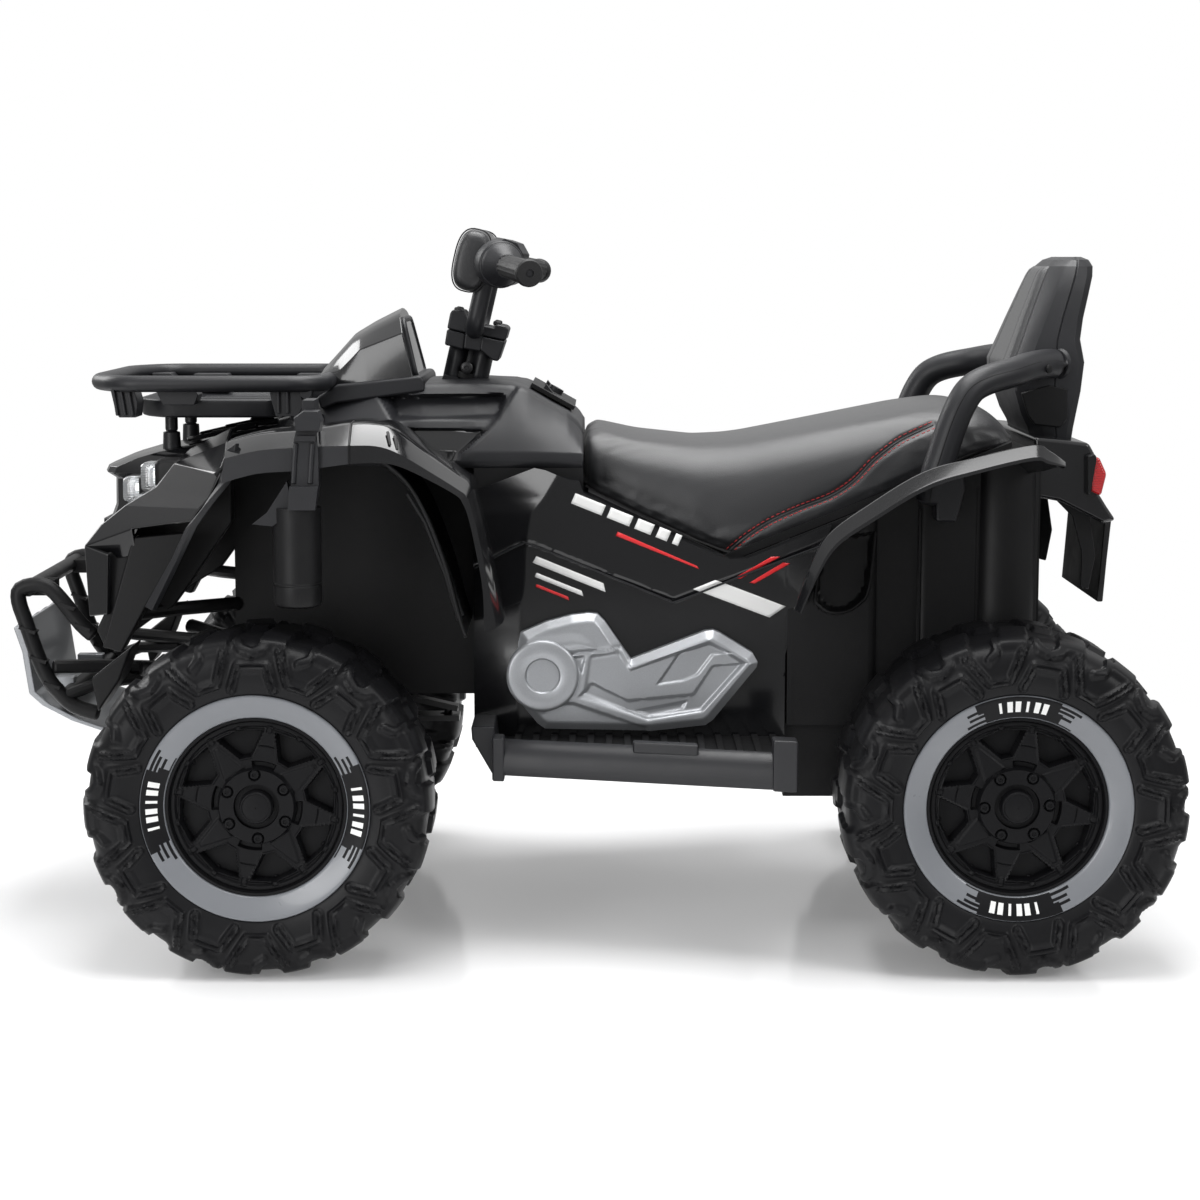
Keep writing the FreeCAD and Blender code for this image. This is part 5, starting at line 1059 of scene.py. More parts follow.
def makeRack():
    path = roundCorners([(x, y, rack["height"]) for x, y in rack["rail"]], 22, 6, closed=True)
    parts = [tube(path, rack["tube"], 18, closed=True)]

    def standing(outline, side, near, far):
        ends = sorted((side * near, side * far))
        parts.append(prism(outline, *ends))
    low, high, half = rack["tray"]
    corners = [(low, -half * 0.7), (low + 28, -half), (high, -half), (high, half), (low + 28, half),
               (low, half * 0.7)]
    outline = roundCorners([(x, y, 0) for x, y in corners], 14, 4, closed=True)
    mid = Vector(((low + high) / 2, 0, 0))
    rings = []
    for z, grow in rack["trayRim"]:
        away = [(p - mid).normalized() for p in outline]
        rings.append([(p.x + d.x * grow, p.y + d.y * grow, z) for p, d in zip(outline, away)])
    parts.append(lofted(rings))
    for k in range(5):  # raised slats on the tray's floor
        y = -64 + k * 32
        parts.append(block((low + 44, y - 8, 525), (high - 20, y + 8, 529.5)))
    for side in (-1, 1):
        stays = [("frontStay", 104, 139), ("midStay", 104, 134), ("rearStay", 104, 139), ("hook", 126, 142)]
        for name, near, far in stays:
            standing(rack[name], side, near, far)
        for x in (-462, -454.5, -447):
            standing([(x - 1.4, 549), (x + 1.4, 549), (x + 5.4, 521), (x + 2.6, 521)], side, 138, 143)
        for x in (-299, -290):
            standing([(x - 1.4, 549), (x + 1.4, 549), (x + 1.4, 523), (x - 1.4, 523)], side, 138, 142.5)
        parts.append(tube([(-418, side * 62, 476), (-418, side * 62, 500), (-418, side * 62, 502)],
                          [9.5, 8.6, 6.4], 16, up=(1, 0, 0)))
        parts.append(tube([(-418, side * 62, 500), (-418, side * 62, 519)], 6.4, 14, up=(1, 0, 0)))
        parts.append(tube([(-290, side * 62, 508), (-290, side * 62, 520)], 7, 14, up=(1, 0, 0)))
    addPiece("rackFrame", joinParts(parts), "satin", "front_rack", bevel=1.6, sharp=32)


bumper = {
    "hoop": [(-486, 220), (-511, 228), (-527, 243), (-538, 258), (-548, 283), (-557.5, 313), (-564, 334),
        (-562, 347), (-545, 351), (-532, 347), (-519, 333), (-502, 311), (-489, 299)],
    "side": 128.0, "tube": 7.8, "cross": [(-556, 346, 8), (-522, 237, 7)],
}


def makeBumper():
    path = throughPoints([(x, -bumper["side"], z) for x, z in bumper["hoop"]], 3)
    parts = [tube(path, bumper["tube"], 14)]
    parts.append(tube([(-532, -bumper["side"], 268), (-490, -110, 266), (-420, -96, 262), (-349, -84, 262)],
                      7, 12))
    parts.append(tube([(-520, -bumper["side"], 238), (-488, -120, 250), (-440, -100, 254)], 6.4, 12))
    for x, z in ((-555, 306), (-545, 276), (-532, 250), (-515, 330), (-500, 309)):
        spot = Matrix.Translation((x, 0, z)) @ Matrix.Rotation(math.radians(20), 4, "Y")
        parts.append(moveParts(block((-8.6, -136.6, -1.6), (8.6, -119.4, 1.6)), spot))
    verts, faces = joinParts(parts)
    twin = ([(x, -y, z) for x, y, z in verts], [f[::-1] for f in faces])
    cross = [tube([(x, -124, z), (x, 124, z)], radius, 14) for x, z, radius in bumper["cross"]]
    for k in range(6):
        y = -112 + k * 7
        cross.append(block((-557, y, 338), (-534, y + 1.8, 352)))
        cross.append(block((-557, -y - 1.8, 338), (-534, -y, 352)))
    addPiece("bumperTubes", joinParts([(verts, faces), twin] + cross), "matte", "front_bumper",
             slot="black_steel", bevel=0.8, sharp=32)


skid = {
    "outline": [(-576, 304), (-568, 279), (-562, 236), (-549, 224), (-519, 208), (-487, 197)],
    "half": 104, "ribs": (-84, -40, 0, 40, 84),
}


def makeSkid():
    outer = skid["outline"]
    inner = [(x + 6.5, z + 2.5) for x, z in outer]
    strips = [prism(outer + inner[::-1], -skid["half"], skid["half"])]
    for y in skid["ribs"]:
        rib = [(x - 2.6, z - 1.6) for x, z in outer]
        strips.append(prism(rib + [(x + 2, z + 2) for x, z in outer[::-1]], y - 8, y + 8))
    for y in (-76, 76):
        strips.append(block((-548, y - 6, 236), (-520, y + 6, 250)))
    addPiece("skidShell", joinParts(strips), "skid", "skid_plate", bevel=1.4, sharp=25)


makeLiner()
makeCowl()
makeDash()
makeNose()
makeLamps()
makeFenders()
makeGuards()
makeCanisters()
makeRack()
makeBumper()
makeSkid()
print("front body made")


# Steering
column = {
    "foot": (-121.0, 552.0), "rake": 13.0,
    "screw": [(3.0, 0), (6.2, 0), (6.2, -2.5), (4.2, -3.6), (2.4, -3.6), (1.8, -2.4), (0.2, -2.4),
        (0.2, 0)],
}


def makeColumn():
    lean = math.tan(math.radians(column["rake"]))
    footX, footZ = column["foot"]
    posts = []
    for shift, wide in ((-13.5, 10.5), (12.5, 11.0)):
        spine = [(footX + shift + lean * (z - footZ), 0, z) for z in (546, 556, 570, 588)]
        posts.append(tube(spine, 20, 20, flat=wide / 20))
    posts.append(prism([(-146, 548), (-143, 556), (-128, 553), (-128, 547)], -24, 24))
    posts.append(tube([(footX + lean * 2, 0, 553), (footX + lean * 34, 0, 586)], 9, 16))
    addPiece("columnPosts", joinParts(posts), "satin", "column_cover", body="steering", sharp=40)
    screw = turned(column["screw"], 20)
    heads = [moveParts(screw, Matrix.Translation((-119, -20.5, 563)))]
    heads.append(moveParts(screw, Matrix.Translation((-119, 20.5, 563)) @ Matrix.Rotation(math.pi, 4, "Z")))
    addPiece("columnScrews", joinParts(heads), "blackSteel", body="steering")


clamp = {
    "blocks": [
        [(-141, 587), (-138.4, 603), (-119.2, 598.4), (-122, 582)],
        [(-138.3, 603.6), (-135, 620), (-132, 623), (-121, 622), (-116.5, 614), (-119.1, 599)],
        [(-105, 582), (-103, 595.6), (-78.8, 590.6), (-86, 570), (-92, 571)],
        [(-102.9, 596.2), (-102, 607), (-90, 604.6), (-88, 608), (-78, 606), (-75, 603), (-78.5, 591.2)],
        [(-122, 583), (-119, 606), (-101, 604), (-104, 580)],
    ],
    "nuts": [(-128, 621), (-88, 607)],
}


def makeClamp():
    blocks = [prism(outline, -33, 33) for outline in clamp["blocks"]]
    addPiece("clampBlocks", joinParts(blocks), "satin", "bar_clamp", body="steering", bevel=2.4, steps=3)
    nuts = []
    for x, z in clamp["nuts"]:
        for y in (-20, 20):
            nuts.append(tube([(x, y, z - 1), (x + 1, y, z + 4)], 4.6, 6))
    addPiece("clampNuts", joinParts(nuts), "blackSteel", "clamp_bolts", body="steering", slot="bare_steel",
             sharp=25)


bars = {
    "riserY": 72.0, "riserTop": (-92.8, 672.5), "barZ": 602.7, "barX": -109.3,
    "sweep": 17.1, "droop": 4.4, "reach": 151.0, "tube": 9.2,
    "grip": [(-68, 9.4, 0), (-69, 10.2, 0), (-71, 10.3, 0.9), (-139, 11.3, 0.9), (-141, 11.4, 0),
        (-142.5, 12.6, 0), (-146, 13.4, 0), (-150, 13.3, 0), (-152, 12.0, 0), (-152.4, 4.0, 0),
        (-150.5, 3.6, 0), (-150.5, 0.6, 0)],
    "pod": [(9.5, -22), (18, -22), (22, -25), (23.6, -32), (23.6, -45), (22.8, -48), (21.0, -49),
        (20.8, -51.5), (19.6, -53.5), (13.4, -67), (11.4, -70), (9.5, -70)],
    "podHood": [(-14, 8), (-9, 20), (4, 25.5), (17, 21), (24, 9), (20, -2), (-12, -2)],
}


def makeBars():
    tipX, tipZ = bars["riserTop"]
    sweep, droop = math.radians(bars["sweep"]), math.radians(bars["droop"])
    away = Vector((math.sin(sweep) * math.cos(droop), -math.cos(sweep) * math.cos(droop), -math.sin(droop)))
    corner = Vector((tipX, -bars["riserY"], tipZ))
    half = [(bars["barX"], 0, bars["barZ"]), (bars["barX"], -bars["riserY"], bars["barZ"]), corner,
            corner + away * bars["reach"]]
    left = roundCorners(half, 20, 6)
    whole = [Vector((p.x, -p.y, p.z)) for p in left[:0:-1]] + left
    addPiece("barTube", tube(whole, bars["tube"], 16), "satin", "handlebar", body="steering",
             slot="black_steel", sharp=40)
    aim = Matrix.Translation(corner) @ Vector((0, -1, 0)).rotation_difference(away).to_matrix().to_4x4()
    rings = []
    for y, size, rib in bars["grip"]:
        ring = []
        for k in range(48):
            reach, angle = size + rib * (k % 3 > 0), math.tau * k / 48
            ring.append((reach * math.cos(angle), y, reach * math.sin(angle)))
        rings.append(ring)
    addPiece("gripSleeves", moveParts(lofted(rings), aim), "rubber", "grips", body="steering", mirror=True)
    pods = [moveParts(turned(bars["pod"], 40), aim), moveParts(prism(bars["podHood"], -44, -16, 0.05), aim)]
    addPiece("switchPods", joinParts(pods), "satin", "switch_housings", body="steering", mirror=True,
             bevel=1.6, sharp=32)


barPad = {
    "rows": [(-93, 0.5), (-92, 0.78), (-89, 0.92), (-82, 1.0), (-40, 1.03), (0, 1.04), (40, 1.03),
        (82, 1.0), (89, 0.92), (92, 0.78), (93, 0.5)],
    "size": (17.5, 31), "piping": (17.9, 31.6), "centre": (-110, 673), "corner": 0.72,
}


def makeBarPad():
    tilt = Matrix.Rotation(math.radians(column["rake"]), 3, "Y")
    midX, midZ = barPad["centre"]

    def padRing(y, across, tall, count):
        # a soft-cornered loop round the bar pad
        ring = []
        for k in range(count):
            angle = math.tau * k / count
            x, z = (math.copysign(abs(share) ** barPad["corner"], share)
                    for share in (math.cos(angle), math.sin(angle)))
            spot = tilt @ Vector((across * x, 0, tall * z))
            ring.append((spot.x + midX, y, spot.z + midZ))
        return ring
    across, tall = barPad["size"]
    rings = [padRing(y, across * size, tall * size, 28) for y, size in barPad["rows"]]
    pad = addPiece("barPadCover", lofted(rings), "leather", "bar_pad", body="steering", subdivide=1,
                   sharp=60)
    piping = [tube(padRing(y, *barPad["piping"], 48), 0.8, 6, closed=True) for y in (-84, 84)]
    addPiece("barPadPiping", joinParts(piping), "rubber", body="steering")


makeColumn()
makeClamp()
makeBars()
makeBarPad()
print("steering made")


# Sides
panel = {
    "top": [(-107, 447), (-46, 471), (-35, 469), (-12, 460), (-2, 459), (2, 447.5), (69, 414),
        (130, 387.5), (147, 381.8), (164, 382.4), (246, 415)],
    "bottom": [(-107, 204), (201.9, 204), (202, 286), (246, 414.6)],
    "face": 164.0, "back": 151.0, "step": 2.4,
    "upper": [(-112, 480), (-112, 369), (-92, 380), (-59, 397), (-48, 396), (59, 353), (92, 339.7),
        (170, 370.5), (250, 401), (262, 440), (147, 384), (10, 460), (10, 480)],
    "upperField": (2.4, 2.4),
    "seam": [(-106, 371), (-92, 379), (-59, 396), (-48, 395.4), (59, 352), (86, 341), (98, 341),
        (170, 369.6), (240, 396)],
    "crease": [(204, -64), (313, -60), (399, -54), (426, -49), (442, -36), (472, -18)],
    "cant": 0.25,
    "white": [
        [(-10, 437), (20, 425), (24.4, 435), (-5.6, 447)],
        [(25, 423), (47, 414.2), (51.4, 424.2), (29.4, 433)],
        [(52, 412.2), (68, 405.8), (72.4, 415.8), (56.4, 422.2)],
        [(73, 403.8), (84, 399.4), (88.4, 409.4), (77.4, 413.8)],
        [(89, 397.4), (95, 395), (99.4, 405), (93.4, 407.4)],
        [(-48, 378), (24, 348.8), (22, 357.6), (-44, 384.4)],
        [(-46, 364), (2, 344.6), (0.5, 350), (-44, 368)],
        [(110, 352), (186, 323), (202, 334), (132, 361)],
    ],
    "red": [
        [(34, 405), (116, 372), (114, 375), (36, 409)],
        [(-45, 354), (-12, 340.6), (-13, 344), (-44, 356.6)],
        [(150, 362), (157, 362), (196, 384), (187, 384)],
        [(166, 358), (171, 357), (206, 377), (199, 378)],
    ],
}


def panelFace(x, z):
    away = max(0.0, lineAt(panel["crease"], z) - x)
    return panel["face"] - away * panel["cant"] + 3.0 * ease((z - 290) / 90) + 1.5 * math.sin((x + 50) / 60)


def panelOut(x, z):
    rise, soft = panel["upperField"]
    return panelFace(x, z) + rise * ramp(insideDepth(panel["upper"], x, z), soft)


def printedBar(corners, across, along, lift):
    # a thin printed shape that lies on the panel
    rows = []
    for i in range(along + 1):
        t = i / along
        row = []
        for j in range(across + 1):
            s = j / across
            x, z = (start * (1 - s) * (1 - t) + end * (1 - s) * t + farEnd * s * t + farStart * s * (1 - t)
                    for start, end, farEnd, farStart in zip(*corners))
            row.append((x, -panelOut(x, z) - lift, z))
        rows.append(row)
    return sheetOf(rows)


def makePanels():
    shell = reliefPanel(panel["top"], panel["bottom"], panelFace, panel["back"], panel["step"],
                        [(panel["upper"], *panel["upperField"])])
    addPiece("sidePanels", shell, "gloss", "side_panels", mirror=True, sharp=40)
    line = throughPoints([(x, z, 0) for x, z in panel["seam"]], 6)
    bead = [(p.x, -panelFace(p.x, p.y) - 0.9, p.y) for p in line]
    addPiece("panelBead", tube(bead, 1.1, 8), "satin", mirror=True)
    for kind in ("white", "red"):
        parts = []
        for corners in panel[kind]:
            wide = math.dist(corners[0], corners[1])
            tall = math.dist(corners[0], corners[3])
            parts.append(printedBar(corners, max(2, round(tall / 3)), max(3, round(wide / 4)), 0.5))
        addPiece("panelStripes_" + kind, joinParts(parts), kind, mirror=True, skin=0.4)


cover = {
    "top": [(-62, 300), (-60, 309), (-35, 320), (-10, 327), (7, 329), (16, 328), (23, 321), (49, 283),
        (122, 311), (130, 312), (137, 309), (169, 289), (174, 280)],
    "bottom": [(-62, 240), (-58, 236), (-43, 218), (-36, 213), (69, 211), (123, 217), (130, 222),
        (173, 275), (174, 279)],
    "hump": [(-70, 302), (-36, 308), (-10, 311), (2, 309), (10, 303), (18, 293), (-14, 288), (-4, 268),
        (-8, 245), (-40, 228), (-80, 268)],
    "plate": [(-5, 245), (2, 254), (7, 288), (39, 294), (49, 276), (127, 303), (164, 280), (120, 231),
        (66, 222)],
    "chevron": [(1, 249), (10, 261), (46, 243), (110, 249), (129, 278), (161, 280), (120, 232),
        (66, 223)],
    "window": [(96, 291), (127, 300), (150, 290), (130, 287), (115, 267), (101, 261), (73, 257)],
    "inset": [(53, 232), (105, 242), (101, 233), (67, 226)],
    "notch": [(-12, 286), (5, 288), (0, 266)],
    "skirt": [(-66, 238), (-8, 241), (65, 216), (69, 205), (-70, 205)],
    "fold": [(-14, 289), (20, 293), (40, 296)],
    "face": 175.0, "back": 164.5, "centre": (-38, 268), "step": 1.7,
    # height and soft edge of each raised or sunk field
    "fields": {"hump": (3.0, 9.0), "plate": (-2.8, 4.0), "chevron": (-2.4, 2.2), "window": (-2.4, 2.2),
        "inset": (-2.0, 2.0), "notch": (-2.6, 2.0), "skirt": (-2.6, 2.4)},
    "disc": [(35.6, -8), (35.6, -20.5), (34.4, -22.6), (32.2, -23.4), (18.2, -23.4), (16.8, -22.6),
        (14.4, -15.4), (13.2, -14.6), (12.4, -15.4), (11.4, -19.6), (10.4, -20.4), (0.3, -20.4),
        (0.3, -8)],
}


def makeCovers():
    outline = cover["top"] + cover["bottom"][::-1]
    layers = [(outline, 7.0, 8.0)] + [(cover[name], *field) for name, field in cover["fields"].items()]
    shell = reliefPanel(cover["top"], cover["bottom"], cover["face"], cover["back"], cover["step"], layers,
                        [(cover["fold"], 1.3, 1.4)])
    x, z = cover["centre"]
    hub = moveParts(turned(cover["disc"], 72), Matrix.Translation((x, -cover["back"], z)))
    addPiece("coverShells", joinParts([shell, hub]), "silver", "engine_covers", mirror=True, sharp=42)


footStep = {
    "rail": [(-84, -220), (202, -296)],
    "width": 16.0,
    "section": [(-4, 178), (12, 178), (15.6, 180), (17, 184), (17, 189), (16, 196), (13.4, 202.5),
        (9.5, 207.4), (4.5, 210.6), (-1, 212), (-4, 212)],
    "gusset": [(-107, 224), (-84, 224), (-79, 177), (-85, 174), (-106, 211)],
}


def makeSteps():
    (x0, y0), (x1, y1) = footStep["rail"]
    wide = footStep["width"]
    ends = [[(x, y - across, z) for across, z in footStep["section"]] for x, y in footStep["rail"]]
    rail = [lofted(ends)]
    frontEnd = [(x0 - 2, y0 + 6), (x0 + 10, y0 + 4), (x0 + 10, y0 - wide - 4), (x0 - 2, y0 - wide - 2)]
    rail.append(slabZ(frontEnd, 173, 216))
    rail.append(slabZ([(181, y1 + 9), (204, y1 + 4), (204, y1 - 19), (181, y1 - 14)], 178, 227))
    share = (52 - x0) / (x1 - x0)
    bump = y0 + (y1 - y0) * share
    rail.append(slabZ([(50, bump + 4), (112, bump - 12), (112, bump - 26), (50, bump - 10)], 206, 217))
    rail.append(prism(footStep["gusset"], -221, -152))
    addPiece("stepRails", joinParts(rail), "satin", "step_rails", slot="matte_black", mirror=True,
             bevel=2.0, sharp=32)
    ribs = []
    for k in range(15):
        x = -66 + k * 18
        out = y0 + (y1 - y0) * (x - x0) / (x1 - x0)
        ribs.append(slabZ([(x, -168), (x + 7, -168), (x + 7, out + 3), (x, out + 3)], 202, 207))
    addPiece("stepTreads", joinParts(ribs), "matte", mirror=True, bevel=1.2)


makePanels()
makeCovers()
makeSteps()
print("sides made")


# Seat
seat = {
    "stations": [(0, 98, 503, 449), (4, 106, 507, 446), (15, 112, 507.5, 440), (56, 124, 498, 420.5),
        (115, 137, 491.5, 394), (147, 141, 493, 382), (166, 142.5, 495.5, 382.6), (221, 145, 506, 405),
        (287, 146, 519, 436), (325, 146, 526.5, 453.5), (366, 144, 532, 472), (395, 140, 530.5, 484),
        (412, 136, 526, 486.5), (423, 131, 518, 489), (429, 126, 511, 492), (432, 119, 505, 495)],
    "section": [(0.90, 0.0), (0.955, 0.06), (0.985, 0.16), (0.995, 0.34), (0.985, 0.52), (0.955, 0.68),
        (0.90, 0.82), (0.81, 0.92), (0.66, 0.972), (0.45, 0.992), (0.22, 1.0), (0.0, 1.0)],
    "seam": [(145, 383), (162, 398.5), (186, 414.4), (215.5, 428.2), (248, 441), (270, 455.6), (291, 477),
        (317, 496), (350, 511)],
    "step": 5.0, "pitch": 4.9, "voxel": 4.5, "push": 4.0, "cap": 4.0, "frames": 20, "hold": 5.0,
}


def seatSection(x):
    _, half, top, low = stationAt(seat["stations"], x)
    line = throughPoints([(a, b, 0) for a, b in seat["section"]], 4)
    points = []
    for p in line:
        crown = 7.0 * (1 - p.x * p.x) * ease((p.y - 0.6) / 0.4)
        points.append((half * p.x, low + (top - 7 - low) * p.y + crown))
    return points


def seatSide(x, z):
    # half width of the unswollen cover at one height
    points = seatSection(x)
    for (y0, z0), (y1, z1) in zip(points, points[1:]):
        if z0 <= z <= z1:
            return y0 + (y1 - y0) * (z - z0) / max(z1 - z0, 1e-6)
    return points[0][0]


def makeSeat():
    rings, x = [], seat["stations"][0][0]
    while x <= seat["stations"][-1][0] + 0.1:
        row = [(x, -y, z) for y, z in seatSection(x)]
        rings.append(bothWays(row))
        x += seat["step"] if 8 < x < 420 else 2.0

    def onPan(spot):
        return spot.z < stationAt(seat["stations"], spot.x)[3] + seat["hold"]
    verts, faces = puffed(*lofted(rings), seat["voxel"], seat["push"], seat["cap"], seat["frames"], onPan)
    shaped = []
    for x, y, z in verts:  # the sewn channel along each side
        pull = 2.4 * ease(1.2 - lineDistance(seat["seam"], x, z) / 5.0) * ease((abs(y) - 60) / 30)
        shaped.append((x, y - math.copysign(pull, y), z - pull * 0.3))
    pad = addPiece("seatCover", (shaped, faces), "leather", "seat_cushion", body="seat", sharp=80)
    surface = BVHTree.FromPolygons(shaped, faces)

    def coverSide(x, z):
        hit = surface.ray_cast(Vector((x, -400, z)), Vector((0, 1, 0)))[0]
        return -hit.y if hit else seatSide(x, z)
    line = throughPoints([(x, z, 0) for x, z in seat["seam"]], 34)
    stitches, run = [], 0.0
    for a, b in zip(line, line[1:]):
        run += (b - a).length
        if run < seat["pitch"]:
            continue
        run = 0.0
        along = (b - a).normalized()
        for shift in (-3.2, 3.2):
            ends = []
            for reach in (-1.9, 0, 1.9):
                x, z = a.x + along.x * reach - along.y * shift, a.y + along.y * reach + along.x * shift
                ends.append((x, -coverSide(x, z) + (0.35 if reach else -0.25), z))
            stitches.append(tube(ends, 0.5, 6))
    addPiece("seatStitches", joinParts(stitches), "thread", body="seat", mirror=True)
    welt = [(p.x, -coverSide(p.x, p.y) - 0.2, p.y) for p in line]
    addPiece("seatWelt", tube(welt, 0.9, 6), "leather", body="seat", mirror=True)
    hem = []
    for x in range(4, 429, 8):
        _, half, _, low = stationAt(seat["stations"], x)
        hem.append((x, -half * 0.915, low + 1.5))
    addPiece("seatHem", tube(hem, 2.2, 8), "rubber", body="seat", mirror=True)


makeSeat()
print("seat made")


# Rear body
rear = {
    "top": [(200, 349), (213.5, 386), (231, 419), (268, 447), (319, 478), (367, 491.6), (422, 503.6),
        (437, 498), (452, 487.5)],
    "lip": [(207, 346), (222, 381), (240, 409), (274, 433), (323, 462.5), (369, 477), (420, 489),
        (435, 486), (450, 483.5)],
    "outer": 300.0, "root": 150.0,
    "sinks": [(185, 20), (225, 13), (262, 6), (285, 1.4), (291, 0.4), (293, 0.9)],
    "socket": [(344, 464), (371, 476), (374, 452), (366, 420), (346, 420)],
}


def makeRearFenders():
    top = throughPoints([(x, z, 0) for x, z in rear["top"]], 5)
    lip = throughPoints([(x, z, 0) for x, z in rear["lip"]], 5)
    rows = []
    for a, b in zip(top, lip):
        inward = (b - a).normalized()
        row = [(a.x + inward.x * 26, -rear["root"], a.y + inward.y * 26)]
        for y, sink in rear["sinks"]:
            row.append((a.x + inward.x * sink, -y, a.y + inward.y * sink))
        row += [(a.x + (b.x - a.x) * 0.68, -rear["outer"] + 0.6, a.y + (b.y - a.y) * 0.68),
                (a.x + (b.x - a.x) * 0.78, -rear["outer"] - 0.6, a.y + (b.y - a.y) * 0.78),
                (b.x, -rear["outer"] - 1.0, b.y), (b.x, -rear["outer"] + 7, b.y)]
        rows.append(row)
    addPiece("rearArch", sheetOf(rows), "gloss", "rear_fenders", mirror=True, skin=4, bevel=0.8, sharp=30)
    addPiece("armSockets", prism(rear["socket"], -188, -160), "satin", mirror=True, bevel=3)


tubWall = {
    "top": [(204, 340), (222, 374), (240, 402), (274, 428), (323, 456), (369, 470), (420, 480),
        (451, 476)],
    "bottom": [(204, 215), (451, 215)],
    "back": 150.3, "step": 3.0,
    "pocket": [(240, 402), (231, 346), (236, 334), (247, 328), (262, 329), (275, 337), (284, 352),
        (290, 408)],
    "ribs": [(334, 282, 430), (391, 300, 452)],
}


def wallOut(x, z):
    # wall of the rear tub, the same at every height: three flat fields and a round column at its back
    out = 152.0 + 12.0 * (1 - ease((x - 288) / 5))
    out += 5.0 * ease((x - 289) / 4) + 4.0 * ease((x - 333) / 4) - 5.0 * ease((x - 389) / 4)
    bulge = max(0.0, 1 - ((x - 420) / 28) ** 2)
    return out + 17.0 * math.sqrt(bulge)


def makeTubWalls():
    wall = reliefPanel(tubWall["top"], tubWall["bottom"], wallOut, tubWall["back"], tubWall["step"],
                       [(tubWall["pocket"], -11.0, 3.5)])
    addPiece("tubWalls", wall, "matte", mirror=True, sharp=38)
    edge = throughPoints([(x, -wallOut(x, z) - 0.4, z) for x, z in tubWall["pocket"]], 5)
    trims = [tube(edge, 1.8, 8)]
    for x, low, high in tubWall["ribs"]:
        trims.append(block((x - 1.0, -wallOut(x + 2, low) - 0.9, low), (x + 1.0, -150, high)))
    addPiece("tubRibs", joinParts(trims), "matte", mirror=True, bevel=0.6)


tail = {
    "outline": [(448, 500), (478, 497), (502, 494), (511, 478), (504, 458), (522, 430), (531, 417),
        (518, 414), (474, 436), (452, 440)],
    "lamp": [(501, 479), (511, 481), (519, 464), (514, 442), (503, 447)],
    "bezel": [(499, 482), (506, 484), (508, 480), (503, 446), (500, 443)],
}


def makeTail():
    addPiece("tailCap", prism(tail["outline"], -142, 142), "gloss", "tail_panel", bevel=4, steps=3)
    addPiece("tailLenses", prism(tail["lamp"], -150, -98), "redLens", "tail_lamps", mirror=True, bevel=3,
             steps=3)
    addPiece("tailBezels", prism(tail["bezel"], -154, -94), "matte", mirror=True, bevel=1.4)


flap = {
    "sheet": [(535, 417), (531, 372), (528, 330), (522, 330), (525, 372), (528, 417)],
    "rib": [(535.5, 410), (531.5, 372), (529, 338), (526, 338), (528, 372), (530, 410)],
    "ribs": (-80, -40, 0, 40, 80),
    "stay": [(470, 440), (486, 448), (506, 430), (514, 380), (508, 346), (500, 348), (500, 384),
        (490, 420)],
    "hanger": [(492, 440), (524, 420), (526, 410), (500, 424)],
}


def makeFlap():
    parts = [prism(flap["sheet"], -100, 100)]
    parts += [prism(flap["rib"], y - 6, y + 6) for y in flap["ribs"]]
    addPiece("flapSheet", joinParts(parts), "rubber", "mud_flap", bevel=1.2)
    stays = [prism(flap["stay"], -128, -118), prism(flap["hanger"], -120, -80)]
    addPiece("flapStays", joinParts(stays), "matte", mirror=True, bevel=1.4)


back = {
    "levels": [(487, 458, 66, 496, 88), (505, 453, 70, 498, 90), (518, 446, 74, 500, 92),
        (542, 438, 80, 504, 94), (571, 437, 80, 507, 94), (594, 446, 73, 503, 90),
        (615, 454, 66, 506, 87), (640, 464, 58, 512, 82), (657, 471, 52, 516, 78),
        (667, 476, 48, 517, 73), (673.5, 483, 42, 514, 66), (676.5, 491, 34, 508, 56)],
    "seamAt": 0.56, "pad": (548.0, 667.0),
    "ribs": (520, 536, 552, 568, 584),
    "cheek": [(442, 541), (449, 519), (456, 509), (482, 506), (489, 515), (488, 545), (470, 549)],
}


